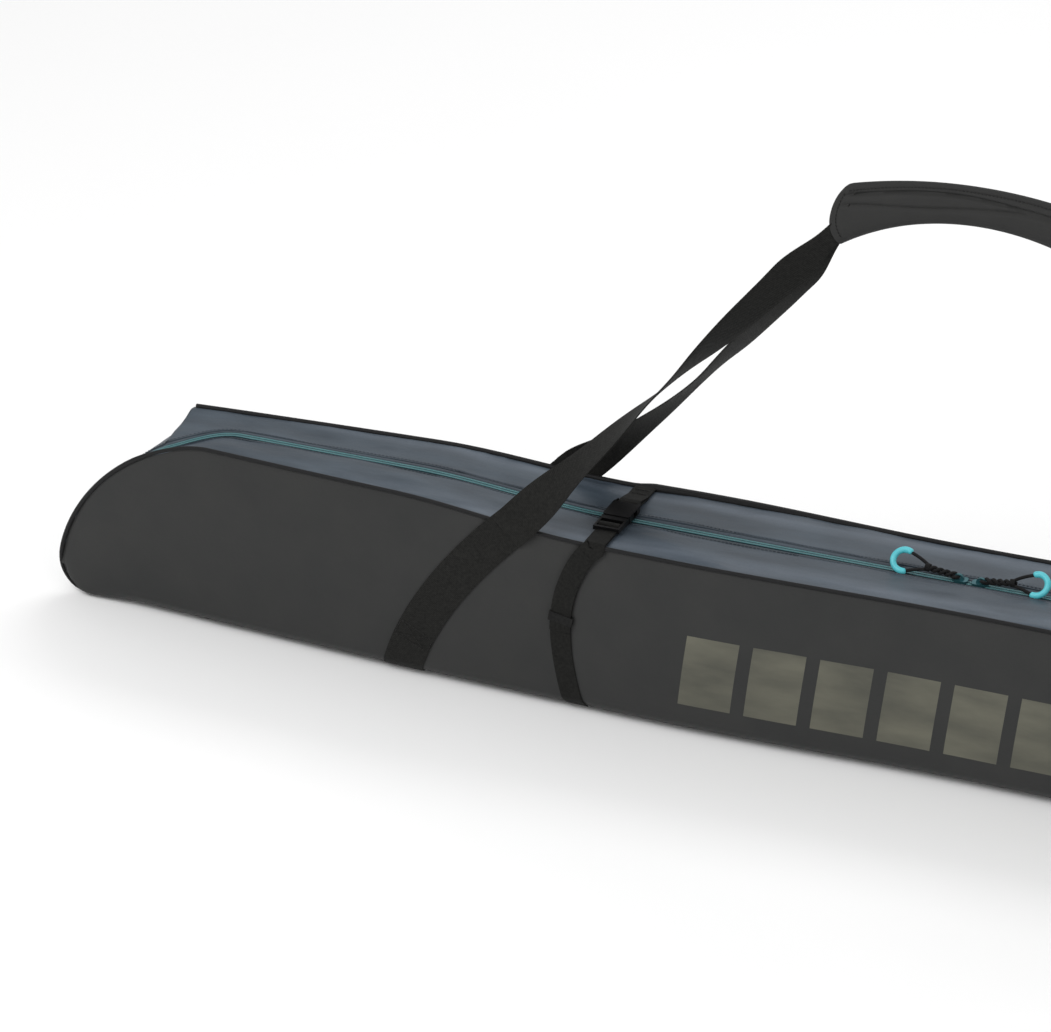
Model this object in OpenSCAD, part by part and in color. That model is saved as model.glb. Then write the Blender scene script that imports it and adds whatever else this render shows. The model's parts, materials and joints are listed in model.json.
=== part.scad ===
// A padded ski bag for one pair of skis, with a two-way zip along its top, two buckled
// compression straps across the zip, and a carrying sling that meets in one padded grip.
// +X runs along the bag, -Y is its front, +Z is up, and the origin is under its middle.

/* [Bag] */
// Length from end to end
bag_length = 1774; // [1550:2:1950]
// Depth of the straight middle part
middle_depth = 126; // [110:2:180]
// Depth at the two ends
end_depth = 56; // [52:2:100]
// Distance from the middle at which the bag starts to narrow
taper_start = 450; // [448:2:560]
// Height of the bag's body in the middle
body_height = 172; // [140:2:200]
// How much higher the body is outside the sling
shoulder_rise = 12; // [0:1:16]
// Length of the curve that rounds each end off
end_curve = 161; // [130:1:190]
// Fullness of that curve: 2 makes it a quarter of an ellipse, less cuts it straighter
end_power = 1.7; // [1.5:0.05:2]
// Radius of the corner between base and end
corner_r = 38; // [20:2:44]

/* [Fabric] */
// Thickness of the coated panels and of the gusset
panel_t = 1.5; // [1:0.1:2]
// Thickness of the foam behind the panels
foam_t = 4; // [2:0.5:6]
// Width of the piping along the top seams
piping_w = 4; // [3:0.25:5]
// How far the piping stands out of the panel and of the gusset
piping_out = 1; // [0.5:0.1:1.2]

/* [Zip] */
// Width of the slit in which the chain lies
zip_slit = 10.4; // [10:0.2:13]
// Width of the closed chain
chain_w = 6.4; // [5.6:0.2:7]
// Thickness of the zip's tapes
tape_t = 0.8; // [0.6:0.1:1]
// Angle on the rounded ends at which the zip stops
zip_end_a = 25; // [15:5:60]
// Distance from each end at which the zip starts to turn towards the front seam
zip_turn = 187; // [170:1:230]
// Length of that turn
zip_turn_l = 75; // [50:1:100]
// Distance of the zip from the front seam on the ends
zip_seam = 11; // [11:0.5:18]
// Length of each slider
slider_l = 15; // [14:0.5:18]
// Distance from each slider's nose to the middle of the bag
slider_gap = 2; // [1:0.5:6]

/* [Zip pulls] */
// Radius of the cord
cord_r = 1.2; // [0.9:0.1:1.4]
// Length of the twin cord up to its knot
cord_l = 27; // [22:1:36]
// Radius of the rubber grip's centre line
pull_r = 10; // [8:0.5:12]
// Thickness of the rubber grip
pull_t = 5; // [4:0.25:6]
// Angle at which the grip stands on the bag
pull_tilt = 45; // [0:5:60]

/* [Carrying sling] */
// Width of the sling's webbing
sling_w = 38; // [30:1:42]
// Thickness of the sling's webbing
web_t = 1.6; // [1.2:0.1:2]
// Distance between the sling's two crossings under the base
sling_foot_gap = 1058; // [960:2:1100]
// Distance between the sling's legs where they leave the top seams
sling_top_gap = 838; // [780:2:840]
// How far the sling bows outwards on the faces
sling_bow = 15; // [0:1:20]

/* [Padded grip] */
// Length of the grip
grip_length = 270; // [220:2:300]
// Height of the grip's side at its middle
grip_w = 42; // [42:1:56]
// Height above the floor of the grip's lower edge at its middle
grip_z = 517; // [450:1:560]
// Radius of the arch in which the lower edge hangs
grip_bend = 235; // [210:5:300]
// How much larger than a concentric one the upper edge's arch is
grip_flat = 53; // [0:1:100]
// Thickness of the grip's cover
cover_t = 1.2; // [0.8:0.1:1.6]
// Thickness of each foam sheet in the grip
grip_foam_t = 5.5; // [3:0.25:8]

/* [Compression straps] */
// Distance between the two compression straps
strap_gap = 666; // [620:2:720]
// Width of their webbing
strap_w = 20; // [16:1:24]
// Thickness of their webbing
strap_t = 1.2; // [1:0.1:1.4]
// Where the buckle's mouth lies in front of the zip
mouth_y = -14; // [-18:1:-10]
// Length of the female half
female_l = 34; // [31:0.5:38]
// How far the male half stands out of the mouth
male_l = 24; // [23:0.5:28]
// Height of the housing
buckle_t = 7; // [6.6:0.2:9]
// Height above the floor of the keeper
keeper_z = 96; // [70:2:110]
// Length of the keeper
keeper_l = 9; // [6:0.5:12]
// How far the strap swings outwards on the front face
strap_swing = 33; // [0:1:36]

/* [Hidden] */

grey = [0.24, 0.25, 0.26];
slate = [0.36, 0.40, 0.44];
black = [0.12, 0.12, 0.13];
teal = [0.30, 0.42, 0.45];
cyan = [0.25, 0.75, 0.80];
foam = [0.75, 0.75, 0.72];

clear = 0.3;
half_l = bag_length / 2;
half_m = middle_depth / 2;
base_z = web_t;
top_z = base_z + body_height;
end_z = base_z + corner_r;
end_h = top_z + shoulder_rise - end_z;
far = 400;
end_step = 5;
zip_a = end_step * round(zip_end_a / end_step);
corner_steps = 6;
// Where the top rises to the shoulder
rise_start = 450;
rise_run = 90;
rise_steps = 6;
// Depth to which the piping reaches into the seam
pipe_in = piping_w - piping_out;
// Half the gap between the two coils, in which the slider's post runs
coil_gap = 0.75;
tape_w = 12;

// Half of the bag's depth at the distance x from its middle
function half_depth(x) =
    abs(x) < taper_start
        ? half_m
        : half_m - (middle_depth - end_depth) / 2 * (abs(x) - taper_start) / (half_l - taper_start);

// A number between 0 and 1 for the place of x between a and b
function share(x, a, b) = min(1, max(0, (x - a) / (b - a)));

function flip(p) = [-p.x, p.y];

function backwards(list) = [for (i = [len(list) - 1 : -1 : 0]) list[i]];

// Point of the right end's curve at the angle a, moved inwards by d
function end_point(a, d) =
    let (u = pow(max(0, cos(a)), 2 / end_power), v = pow(max(0, sin(a)), 2 / end_power))
    let (n = [pow(u, end_power - 1) / end_curve, pow(v, end_power - 1) / end_h])
    [half_l - end_curve + end_curve * u, end_z + end_h * v] - d * n / norm(n);

// The right end's curve from the angle a to the angle b, moved inwards by d; both are whole steps
function end_line(a, b, d) = [for (i = [0 : round((b - a) / end_step)]) end_point(a + i * end_step, d)];

// The slope between the right shoulder and the lower middle, moved down by d
function shoulder_line(d) = [for (i = [rise_steps : -1 : 0])
    let (t = i / rise_steps)
    [rise_start + rise_run * t, top_z - d + shoulder_rise * (1 - cos(180 * t)) / 2]];

function half_top(a, d) = concat(end_line(a, 90, d), shoulder_line(d));

// The line over the top, from the angle a on the right end to the same angle on the left end
function top_line(a, d) = concat(half_top(a, d), [for (p = backwards(half_top(a, d))) flip(p)]);

// The line round the left corner, along the base and round the right corner
function base_line(d) =
    let (left = [for (i = [0 : corner_steps])
        let (a = 180 + 90 * i / corner_steps)
        [corner_r - half_l + (corner_r - d) * cos(a), end_z + (corner_r - d) * sin(a)]])
    concat(left, [for (p = backwards(left)) flip(p)]);

// Both sides of a ribbon of the thickness t along a path
function ribbon_side(path, d) = [for (i = [0 : len(path) - 1])
    let (before = i == 0 ? path[1] - path[0] : path[i] - path[i - 1])
    let (after = i == len(path) - 1 ? before : path[i + 1] - path[i])
    let (n = [-before.y, before.x] / norm(before))
    let (m = [-after.y, after.x] / norm(after))
    path[i] + d * (n + m) / (1 + n * m)];

function ribbon(path, t) = concat(ribbon_side(path, t / 2), backwards(ribbon_side(path, -t / 2)));

// A side view drawn in X and Z, from y0 to y1
module upright(points, y0, y1) {
    translate([0, y1, 0])
        rotate([90, 0, 0])
            linear_extrude(height = y1 - y0)
                polygon(points);
}

// A section drawn in Y and Z, w wide round the distance x from the middle
module across(points, x, w) {
    translate([x - w / 2, 0, 0])
        rotate([90, 0, 90])
            linear_extrude(height = w)
                polygon(points);
}

// The wall between the depths d0 and d1 behind the front face (side = -1) or the back face (1)
module wall(side, d0, d1) {
    xs = [-half_l - 20, -taper_start, taper_start, half_l + 20];
    outer = [for (x = xs) [x, side * (half_depth(x) - d0)]];
    inner = [for (x = xs) [x, side * (half_depth(x) - d1)]];
    linear_extrude(height = far)
        polygon(concat(outer, backwards(inner)));
}

// Everything at least d inside the front and back faces
module core(d) {
    xs = [-half_l - 20, -taper_start, taper_start, half_l + 20];
    front = [for (x = xs) [x, d - half_depth(x)]];
    back = [for (x = xs) [x, half_depth(x) - d]];
    linear_extrude(height = far)
        polygon(concat(front, backwards(back)));
}

// The zip's middle line seen from above: it turns towards the front seam near both ends
function zip_y(x) =
    let (t = share(abs(x), half_l - zip_turn, half_l - zip_turn + zip_turn_l))
    (zip_seam - half_depth(x)) * t * t * (3 - 2 * t);

zip_right = concat([for (i = [0 : 10]) let (x = half_l - zip_turn + zip_turn_l * i / 10) [x, zip_y(x)]],
    [[half_l + 20, zip_y(half_l + 20)]]);
zip_line = concat([for (p = backwards(zip_right)) flip(p)], zip_right);

// Everything between the distances d0 and d1 behind the zip's middle line, above z0
module along_zip(d0, d1, z0 = 0) {
    translate([0, 0, z0])
        linear_extrude(height = far)
            polygon(concat(ribbon_side(zip_line, d0), backwards(ribbon_side(zip_line, d1))));
}

// Everything in front of the zip's middle line (side = -1) or behind it (1)
module beside_zip(side) {
    linear_extrude(height = far)
        polygon(concat(zip_line, [[half_l + 20, side * far], [-half_l - 20, side * far]]));
}

// A band over both ends and the top, between the depths d0 and d1 under the surface
module top_band(a, d0, d1, y0 = -far, y1 = far) {
    upright(concat(top_line(a, d0), backwards(top_line(a, d1))), y0, y1);
}

module panel(side) {
    intersection() {
        wall(side, 0, panel_t);
        upright(concat(top_line(0, pipe_in), base_line(0)), -far, far);
    }
}

module front_panel() {
    color(grey) panel(-1);
}

module back_panel() {
    color(grey) panel(1);
}

module base_panel() {
    color(grey)
        intersection() {
            core(panel_t);
            upright(concat(base_line(0), backwards(base_line(panel_t))), -far, far);
        }
}

// Half of the gusset that runs over both ends and the top, with its half of the slit. It is
// drawn once and cut at the shoulders into a straight middle length and two end lengths.
module gusset(side) {
    difference() {
        intersection() {
            core(pipe_in);
            top_band(0, 0, panel_t);
            beside_zip(side);
        }
        along_zip(-zip_slit / 2, zip_slit / 2, end_point(zip_a, panel_t).y - 0.2);
    }
}

module gusset_length(side, x0, x1) {
    color(slate)
        intersection() {
            gusset(side);
            translate([x0, -far, 0]) cube([x1 - x0, 2 * far, far]);
        }
}

module gusset_front() {
    gusset_length(-1, -rise_start, rise_start);
}

module gusset_back() {
    gusset_length(1, -rise_start, rise_start);
}

module gusset_front_left() {
    gusset_length(-1, -half_l - 1, -rise_start);
}

module gusset_front_right() {
    gusset_length(-1, rise_start, half_l + 1);
}

module gusset_back_left() {
    gusset_length(1, -half_l - 1, -rise_start);
}

module gusset_back_right() {
    gusset_length(1, rise_start, half_l + 1);
}

module padding(side) {
    intersection() {
        wall(side, panel_t, panel_t + foam_t);
        upright(concat(top_line(0, pipe_in + clear), base_line(pipe_in + clear)), -far, far);
    }
}

module front_padding() {
    color(foam) padding(-1);
}

module back_padding() {
    color(foam) padding(1);
}

module base_padding() {
    color(foam)
        intersection() {
            core(panel_t + foam_t + clear);
            upright(concat(base_line(panel_t), backwards(base_line(panel_t + foam_t))), -far, far);
        }
}

module piping(side) {
    intersection() {
        wall(side, -piping_out, pipe_in);
        top_band(0, -piping_out, pipe_in);
    }
}

module front_piping() {
    color(black) piping(-1);
}

module back_piping() {
    color(black) piping(1);
}

module zip_tape(d0, d1) {
    color(black)
        intersection() {
            top_band(zip_a - end_step, panel_t, panel_t + tape_t);
            along_zip(d0, d1);
            core(pipe_in + clear);
        }
}

module zip_tape_front() {
    zip_tape(-coil_gap - tape_w, -coil_gap);
}

module zip_tape_back() {
    zip_tape(coil_gap, coil_gap + tape_w);
}

module zip_coil(d0, d1) {
    color(teal)
        intersection() {
            top_band(zip_a, 0, panel_t);
            along_zip(d0, d1);
        }
}

module zip_coil_front() {
    zip_coil(-chain_w / 2, -coil_gap);
}

module zip_coil_back() {
    zip_coil(coil_gap, chain_w / 2);
}

// Patch of cloth over the end of the chain
module zip_end() {
    points = concat(end_line(zip_a - end_step, zip_a + end_step, -0.8),
        backwards(end_line(zip_a - end_step, zip_a + end_step, 0)));
    color(black)
        intersection() {
            upright(points, -far, far);
            along_zip(-7.5, 7.5);
            core(pipe_in + clear);
        }
}

module zip_end_left() {
    mirror([1, 0, 0]) zip_end();
}

module zip_end_right() {
    zip_end();
}

// Zip slider: two plates joined by a post that runs between the coils, flanges beside
// the coils, and on top a bridge with a hole across for the cord
plate_t = 1.6;
plate_w = zip_slit - 2 * clear;
bridge_w = 2.4;
bridge_r = 4.8;
bridge_x = slider_gap + 8.5;
eye_r = cord_r + 0.6;
eye_z = top_z + clear + plate_t + eye_r + 0.15;

module slider_plate(z0, z1) {
    x0 = slider_gap;
    x1 = slider_gap + slider_l;
    w = plate_w / 2;
    translate([0, 0, z0])
        linear_extrude(height = z1 - z0)
            polygon([[x0, 2 - w], [x0 + 2, -w], [x1 - 4, -w], [x1, 3 - w],
                [x1, w - 3], [x1 - 4, w], [x0 + 2, w], [x0, w - 2]]);
}

module slider_flange() {
    x0 = slider_gap + 2;
    y0 = chain_w / 2 + clear;
    translate([x0, y0, top_z - panel_t + clear])
        cube([slider_l - 6, plate_w / 2 - y0, panel_t]);
}

module zip_slider() {
    under = top_z - panel_t - tape_t - clear;
    color(teal)
        difference() {
            union() {
                slider_plate(top_z + clear, top_z + clear + plate_t);
                slider_plate(under - plate_t, under);
                translate([slider_gap + 1, clear - coil_gap, under - 0.5])
                    cube([5, 2 * (coil_gap - clear), panel_t + tape_t + 2 * clear + 1]);
                slider_flange();
                mirror([0, 1, 0]) slider_flange();
                intersection() {
                    translate([bridge_x, bridge_w / 2, top_z + clear + plate_t])
                        rotate([90, 0, 0]) cylinder(r = bridge_r, h = bridge_w);
                    translate([0, -far, top_z + clear + plate_t / 2]) cube([far, 2 * far, far]);
                }
            }
            translate([bridge_x, far, eye_z]) rotate([90, 0, 0]) cylinder(r = eye_r, h = 2 * far);
        }
}

module zip_slider_left() {
    mirror([1, 0, 0]) zip_slider();
}

module zip_slider_right() {
    zip_slider();
}

// Zip pull, drawn from the bridge's eye outwards. The cord passes the eye, runs back as two
// strands to a knot, spreads, and its ends meet inside the rubber grip.
strand_y = bridge_w / 2 + cord_r + clear;
knot_l = 6;
fork_x = cord_l + knot_l / 2;
grip_x = fork_x + 22;
mouth_a = 120;
// The cord rises just enough for the tilted grip to clear the bag
pull_rise = asin((pull_r * sin(pull_tilt) + pull_t / 2 + clear + top_z - eye_z) / grip_x);

// Arc of round section, open towards the slider
module bow(r) {
    y = far * sin(mouth_a);
    translate([grip_x, 0, 0])
        difference() {
            rotate_extrude() translate([pull_r, 0]) circle(r = r);
            linear_extrude(height = 4 * r, center = true)
                polygon([[0, 0], [far * cos(mouth_a), y], [far * cos(mouth_a), -y]]);
        }
}

// One of the two strands that spread from the knot to the grip, on the side s
module spread(s) {
    run = grip_x + pull_r * cos(mouth_a) - cord_l;
    rise = pull_r * sin(mouth_a) - strand_y;
    translate([cord_l, s * strand_y, 0])
        rotate([0, 90, s * atan2(rise, run)]) cylinder(r = cord_r, h = norm([run, rise]));
}

module bow_ends(r) {
    for (s = [-1, 1])
        translate([grip_x + pull_r * cos(mouth_a), s * pull_r * sin(mouth_a), 0]) sphere(r = r);
}

module pull_frame() {
    translate([bridge_x, 0, eye_z])
        rotate([0, -pull_rise, 0])
            children();
}

module pull_cord() {
    color(black)
        pull_frame() {
            translate([strand_y, 0, 0])
                difference() {
                    rotate_extrude() translate([strand_y, 0]) circle(r = cord_r);
                    translate([0, -10, -10]) cube(20);
                }
            for (s = [-1, 1])
                translate([strand_y, s * strand_y, 0])
                    rotate([0, 90, 0]) cylinder(r = cord_r, h = cord_l - strand_y);
            translate([cord_l - knot_l / 2, 0, 0])
                rotate([0, 90, 0]) cylinder(r = strand_y + cord_r + 0.1, h = knot_l);
            rotate([pull_tilt, 0, 0]) {
                for (s = [-1, 1]) spread(s);
                bow_ends(cord_r + 0.05);
                bow(cord_r);
            }
        }
}

module pull_grip() {
    color(cyan)
        pull_frame()
            rotate([pull_tilt, 0, 0])
                difference() {
                    bow(pull_t / 2);
                    bow(cord_r + 0.1);
                    bow_ends(cord_r + 0.15);
                }
}

module pull_cord_left() {
    mirror([1, 0, 0]) pull_cord();
}

module pull_cord_right() {
    pull_cord();
}

module pull_grip_left() {
    mirror([1, 0, 0]) pull_grip();
}

module pull_grip_right() {
    pull_grip();
}

// Carrying sling: it passes under the base, lies on both faces, leaves them at the top
// seams as four legs, and all of it meets in the grip
foot_x = sling_foot_gap / 2;
seam_x = sling_top_gap / 2;
// The line along which each leg turns out of the face, just clear of the piping
fold_y = half_m + piping_out + clear + web_t / 2;
fold_z = top_z + piping_out + clear + web_t / 2 + 0.3;
sewn_z = top_z - 12;

// Distance from the middle of the sling's centre line at the share h of the face's height
function sling_x(h) = foot_x + (seam_x - foot_x) * h + sling_bow * 4 * h * (1 - h);

sling_line = [for (i = [-1 : 11]) [sling_x(i / 10), base_z + (top_z - base_z) * i / 10]];

module sling_foot() {
    color(black)
        intersection() {
            translate([foot_x - sling_w / 2, -far, 0]) cube([sling_w, 2 * far, web_t]);
            core(-web_t);
        }
}

module sling_strip(z0, z1) {
    intersection() {
        upright(ribbon(sling_line, sling_w), -far, far);
        translate([0, -far, z0]) cube([2 * far, 2 * far, z1 - z0]);
    }
}

module sling_face(side) {
    color(black)
        intersection() {
            wall(side, -web_t, 0);
            sling_strip(base_z, sewn_z - clear);
        }
}

// The part of the webbing that passes outside the piping
module sling_turn(side, z0, z1) {
    intersection() {
        wall(side, -piping_out - clear - web_t, -piping_out - clear);
        sling_strip(z0, z1);
    }
}

module sling_back() {
    sling_face(1);
    color(black) sling_turn(1, sewn_z - 2, fold_z - 1);
}

module sling_foot_left() {
    mirror([1, 0, 0]) sling_foot();
}

module sling_foot_right() {
    sling_foot();
}

module sling_front_left() {
    mirror([1, 0, 0]) sling_face(-1);
}

module sling_front_right() {
    sling_face(-1);
}

module sling_back_left() {
    mirror([1, 0, 0]) sling_back();
}

module sling_back_right() {
    sling_back();
}

// Grip: an arch standing on edge, a little taller at its ends than in the middle
arch_z = grip_z - grip_bend;
arch_r = grip_bend + grip_w;
grip_end = grip_length / 2;
web_r = grip_bend + cover_t + clear;
cover_y = web_t + clear + grip_foam_t + clear / 3 + cover_t;
// Height at which the legs turn into the grip's upright plane
join_z = arch_z + sqrt(pow(grip_bend, 2) - pow(grip_end, 2)) - 13;
leg_end_x = grip_end + 4;
leg_end_z = arch_z + sqrt(pow(grip_bend + grip_w / 2, 2) - pow(leg_end_x, 2));
leg_slope = (leg_end_z - fold_z) / (seam_x - leg_end_x);
leg_hw = sling_w / 2 / sin(atan(leg_slope));
leg_tilt = atan((fold_y - web_t / 2 - 0.4) / (join_z - fold_z));

// Distance from the middle of a leg's centre line at the height z
function leg_x(z) = seam_x - (z - fold_z) / leg_slope;

module leg_sheet(z0, z1) {
    k = 1 / cos(leg_tilt);
    color(black)
        translate([0, -fold_y, fold_z])
            rotate([90 - leg_tilt, 0, 0])
                translate([0, 0, -web_t / 2])
                    linear_extrude(height = web_t)
                        polygon([
                            [leg_x(z0) - leg_hw, (z0 - fold_z) * k], [leg_x(z0) + leg_hw, (z0 - fold_z) * k],
                            [leg_x(z1) + leg_hw, (z1 - fold_z) * k], [leg_x(z1) - leg_hw, (z1 - fold_z) * k],
                        ]);
}

module leg_front() {
    leg_sheet(fold_z - 0.5, join_z - 0.6);
    color(black) sling_turn(-1, sewn_z, fold_z + 0.2);
}

module leg_back() {
    mirror([0, 1, 0]) leg_sheet(fold_z + 0.2, join_z - 0.6);
}

module leg_front_left() {
    mirror([1, 0, 0]) leg_front();
}

module leg_front_right() {
    leg_front();
}

module leg_back_left() {
    mirror([1, 0, 0]) leg_back();
}

module leg_back_right() {
    leg_back();
}

// Arch between the radii r0 and r1; flat0 and flat1 make either arc flatter about its crown
module arch(r0, r1, y0, y1, reach, flat0 = 0, flat1 = 0) {
    intersection() {
        translate([0, y1, arch_z])
            rotate([90, 0, 0])
                difference() {
                    translate([0, -flat1, 0]) cylinder(r = r1 + flat1, h = y1 - y0);
                    translate([0, -flat0, -1]) cylinder(r = r0 + flat0, h = y1 - y0 + 2);
                }
        translate([-reach, -far, arch_z]) cube([2 * reach, 2 * far, far]);
    }
}

module grip_web_end(y0, y1) {
    x1 = grip_end + 0.2;
    inner = leg_x(join_z) - leg_hw;
    outer = leg_x(join_z) + leg_hw;
    upright([[inner, join_z], [outer, join_z],
        [x1, join_z + (outer - x1) * leg_slope], [x1, join_z + (inner - x1) * leg_slope]], y0, y1);
}

module grip_web(y0, y1) {
    color(black) {
        arch(web_r, web_r + sling_w, y0, y1, grip_end + 0.8);
        grip_web_end(y0, y1);
        mirror([1, 0, 0]) grip_web_end(y0, y1);
    }
}

module grip_web_front() {
    grip_web(-web_t, 0);
}

module grip_web_back() {
    grip_web(0, web_t);
}

module grip_cover() {
    color(black)
        difference() {
            arch(grip_bend, arch_r, -cover_y, cover_y, grip_end, 0, grip_flat);
            arch(grip_bend + cover_t, arch_r - cover_t, cover_t - cover_y, cover_y - cover_t,
                grip_end + 1, 0, grip_flat);
        }
}

module grip_foam_front() {
    y1 = -web_t - clear;
    color(foam)
        arch(grip_bend + cover_t + 0.1, arch_r - cover_t - 1.3, y1 - grip_foam_t, y1,
            grip_end - 2, 0, grip_flat);
}

module grip_foam_back() {
    mirror([0, 1, 0]) grip_foam_front();
}

// Hook-and-loop strip under the cover's closing edge
module grip_closure() {
    y = cover_y - cover_t - 1;
    color(black)
        arch(arch_r - cover_t - 1, arch_r - cover_t - 0.1, -y, y, grip_end - 4, grip_flat, grip_flat);
}

// Compression strap: anchor, buckle, strap, tail and keeper
strap_x = strap_gap / 2;
buckle_w = strap_w + 6;
mid_z = top_z + 1.6 + buckle_t / 2;
rear_y = mouth_y + female_l;
tail_y = mouth_y - male_l;
tongue = 1.8;
bar = 1.2;

// Levels of the strap on the front face and over the top
ply_y = half_m + piping_out + 1;
tail_ply_y = ply_y + strap_t + clear;
ply_z = top_z + piping_out + 1.6;
tail_ply_z = ply_z + strap_t + clear;
loop_z = top_z - 8;
hook_bar_z = ply_z + strap_t / 2 + clear;
hook_top_z = hook_bar_z + 3 + clear + strap_t / 2;
// Where the webbing turns round the male half's inner bar
hook_y = tail_y + 10.6;
turn_y = hook_y + clear + strap_t / 2;

module strap_anchor() {
    low = top_z + strap_t / 2;
    under = mid_z - bar - clear - strap_t / 2;
    over = mid_z + bar + clear + strap_t / 2;
    turn = rear_y - 2.8 - clear - strap_t / 2;
    path = [[half_m - pipe_in - 0.2, low], [rear_y + 20, low], [rear_y + 6, under], [turn, under],
        [turn, over], [rear_y + 3, over], [rear_y + 22, low + strap_t + clear],
        [rear_y + 33, low + strap_t + clear]];
    color(black) across(ribbon(path, strap_t), strap_x, strap_w);
}

// Middle of the strap on the front face at the height z, and its whole line downwards
function strap_mid(z) = strap_x + strap_swing * sin(145 * pow(share(z, loop_z, base_z), 0.75));

strap_line = concat([[strap_x, top_z]],
    [for (i = [0 : 12]) let (z = loop_z + (base_z - loop_z) * i / 12) [strap_mid(z), z]]);

// A ply of the strap on the front face, from its side view in Y and Z
module ply(path) {
    color(black)
        intersection() {
            across(ribbon(path, strap_t), strap_x + 20, 120);
            upright(ribbon(strap_line, strap_w), -far, far);
        }
}

module strap() {
    foot = half_m + strap_t / 2;
    ply([[-foot, base_z + 2], [-foot, base_z + 12], [-ply_y, base_z + 24], [-ply_y, loop_z - clear]]);
}

module strap_tail() {
    ply([[-tail_ply_y, keeper_z - 12], [-tail_ply_y, loop_z - clear]]);
}

// The webbing over the front seam, round the ladder bars and back over the seam
module strap_loop() {
    path = [[-ply_y, loop_z], [-ply_y, ply_z - 1.2], [1.2 - ply_y, ply_z], [turn_y, ply_z],
        [turn_y, hook_top_z], [hook_y - 3.8, hook_top_z], [hook_y - 6, tail_ply_z],
        [2.2 - tail_ply_y, tail_ply_z], [-tail_ply_y, tail_ply_z - 2.2], [-tail_ply_y, loop_z]];
    color(black) across(ribbon(path, strap_t), strap_x, strap_w);
}

module block(w, y0, y1, z0, z1) {
    translate([strap_x - w / 2, y0, z0]) cube([w, y1 - y0, z1 - z0]);
}

// Housing with its mouth to the front, a window in each side and a bar at the back
module buckle_female() {
    w = buckle_w / 2;
    slot = strap_w + 1;
    color(black)
        difference() {
            translate([strap_x, 0, mid_z - buckle_t / 2])
                linear_extrude(height = buckle_t)
                    polygon([[1 - w, mouth_y], [w - 1, mouth_y], [w, mouth_y + 2], [w, rear_y - 7],
                        [w - 2.5, rear_y], [2.5 - w, rear_y], [-w, rear_y - 7], [-w, mouth_y + 2]]);
            block(buckle_w - 4.6, mouth_y - 1, mouth_y + 23, mid_z - tongue - clear, mid_z + tongue + clear);
            block(buckle_w + 2, mouth_y + 9, mouth_y + 19.5, mid_z - 2.5, mid_z + 2.5);
            block(slot, rear_y - 6.4, rear_y - 2.8, 0, far);
            block(slot, rear_y - 6.4, far, mid_z + bar, far);
            block(slot, rear_y - 6.4, far, 0, mid_z - bar);
        }
}

// Shoulder, guide and ladder frame with its two bars
module buckle_male() {
    rail_w = strap_w + 5.2;
    rail_in = strap_w + 1.2;
    color(black) {
        block(rail_w, mouth_y - 7, mouth_y - clear, mid_z - 2.6, mid_z + 2.6);
        block(4, mouth_y - 1, mouth_y + 17, mid_z - tongue, mid_z + tongue);
        difference() {
            block(rail_w, tail_y, mouth_y - 6, mid_z - 1.6, mid_z + 2.5);
            block(rail_in, tail_y - 1, mouth_y - 7, 0, far);
        }
        block(rail_w - 1, hook_y - 3, hook_y, hook_bar_z, hook_bar_z + 3);
        block(rail_w - 1, tail_y, tail_y + 2.6, tail_ply_z + strap_t / 2 + clear, mid_z + 2.5);
    }
}

// The two spring arms, whose barbs rest in the housing's windows
module buckle_prongs() {
    x0 = buckle_w / 2 - 5.6;
    x1 = x0 + 2.2;
    barb = buckle_w / 2 - 0.4;
    arm = [[x0, mouth_y - clear], [x1, mouth_y - clear], [x1, mouth_y + 9.4], [barb, mouth_y + 9.6],
        [barb, mouth_y + 12], [x1, mouth_y + 18], [x1 - 1, mouth_y + 20.5], [x0, mouth_y + 20.5]];
    color(black)
        translate([strap_x, 0, mid_z - tongue]) {
            linear_extrude(height = 2 * tongue) polygon(arm);
            mirror([1, 0, 0]) linear_extrude(height = 2 * tongue) polygon(arm);
        }
}

// Height through which the keeper can be pushed up
keeper_run = 19.6;

// Elastic ring round the strap and its tail
module keeper() {
    ring = 0.8;
    y_in = ply_y - strap_t / 2 - clear;
    y_out = tail_ply_y + strap_t / 2 + clear;
    lean = atan((strap_mid(keeper_z) - strap_mid(keeper_z + keeper_run)) / keeper_run);
    color(black)
        translate([strap_mid(keeper_z), 0, keeper_z])
            rotate([0, -lean, 0])
                translate([-strap_x, 0, -keeper_l / 2])
                    difference() {
                        block(strap_w + 3.2, -y_out - ring, -y_in + ring, 0, keeper_l);
                        block(strap_w + 1.6, -y_out, -y_in, -1, keeper_l + 1);
                    }
}

module strap_anchor_left() {
    mirror([1, 0, 0]) strap_anchor();
}

module strap_anchor_right() {
    strap_anchor();
}

module strap_left() {
    mirror([1, 0, 0]) strap();
}

module strap_right() {
    strap();
}

module strap_tail_left() {
    mirror([1, 0, 0]) strap_tail();
}

module strap_tail_right() {
    strap_tail();
}

module strap_loop_left() {
    mirror([1, 0, 0]) strap_loop();
}

module strap_loop_right() {
    strap_loop();
}

module buckle_female_left() {
    mirror([1, 0, 0]) buckle_female();
}

module buckle_female_right() {
    buckle_female();
}

module buckle_male_left() {
    mirror([1, 0, 0]) buckle_male();
}

module buckle_male_right() {
    buckle_male();
}

module buckle_prongs_left() {
    mirror([1, 0, 0]) buckle_prongs();
}

module buckle_prongs_right() {
    buckle_prongs();
}

module keeper_left() {
    mirror([1, 0, 0]) keeper();
}

module keeper_right() {
    keeper();
}

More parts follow.
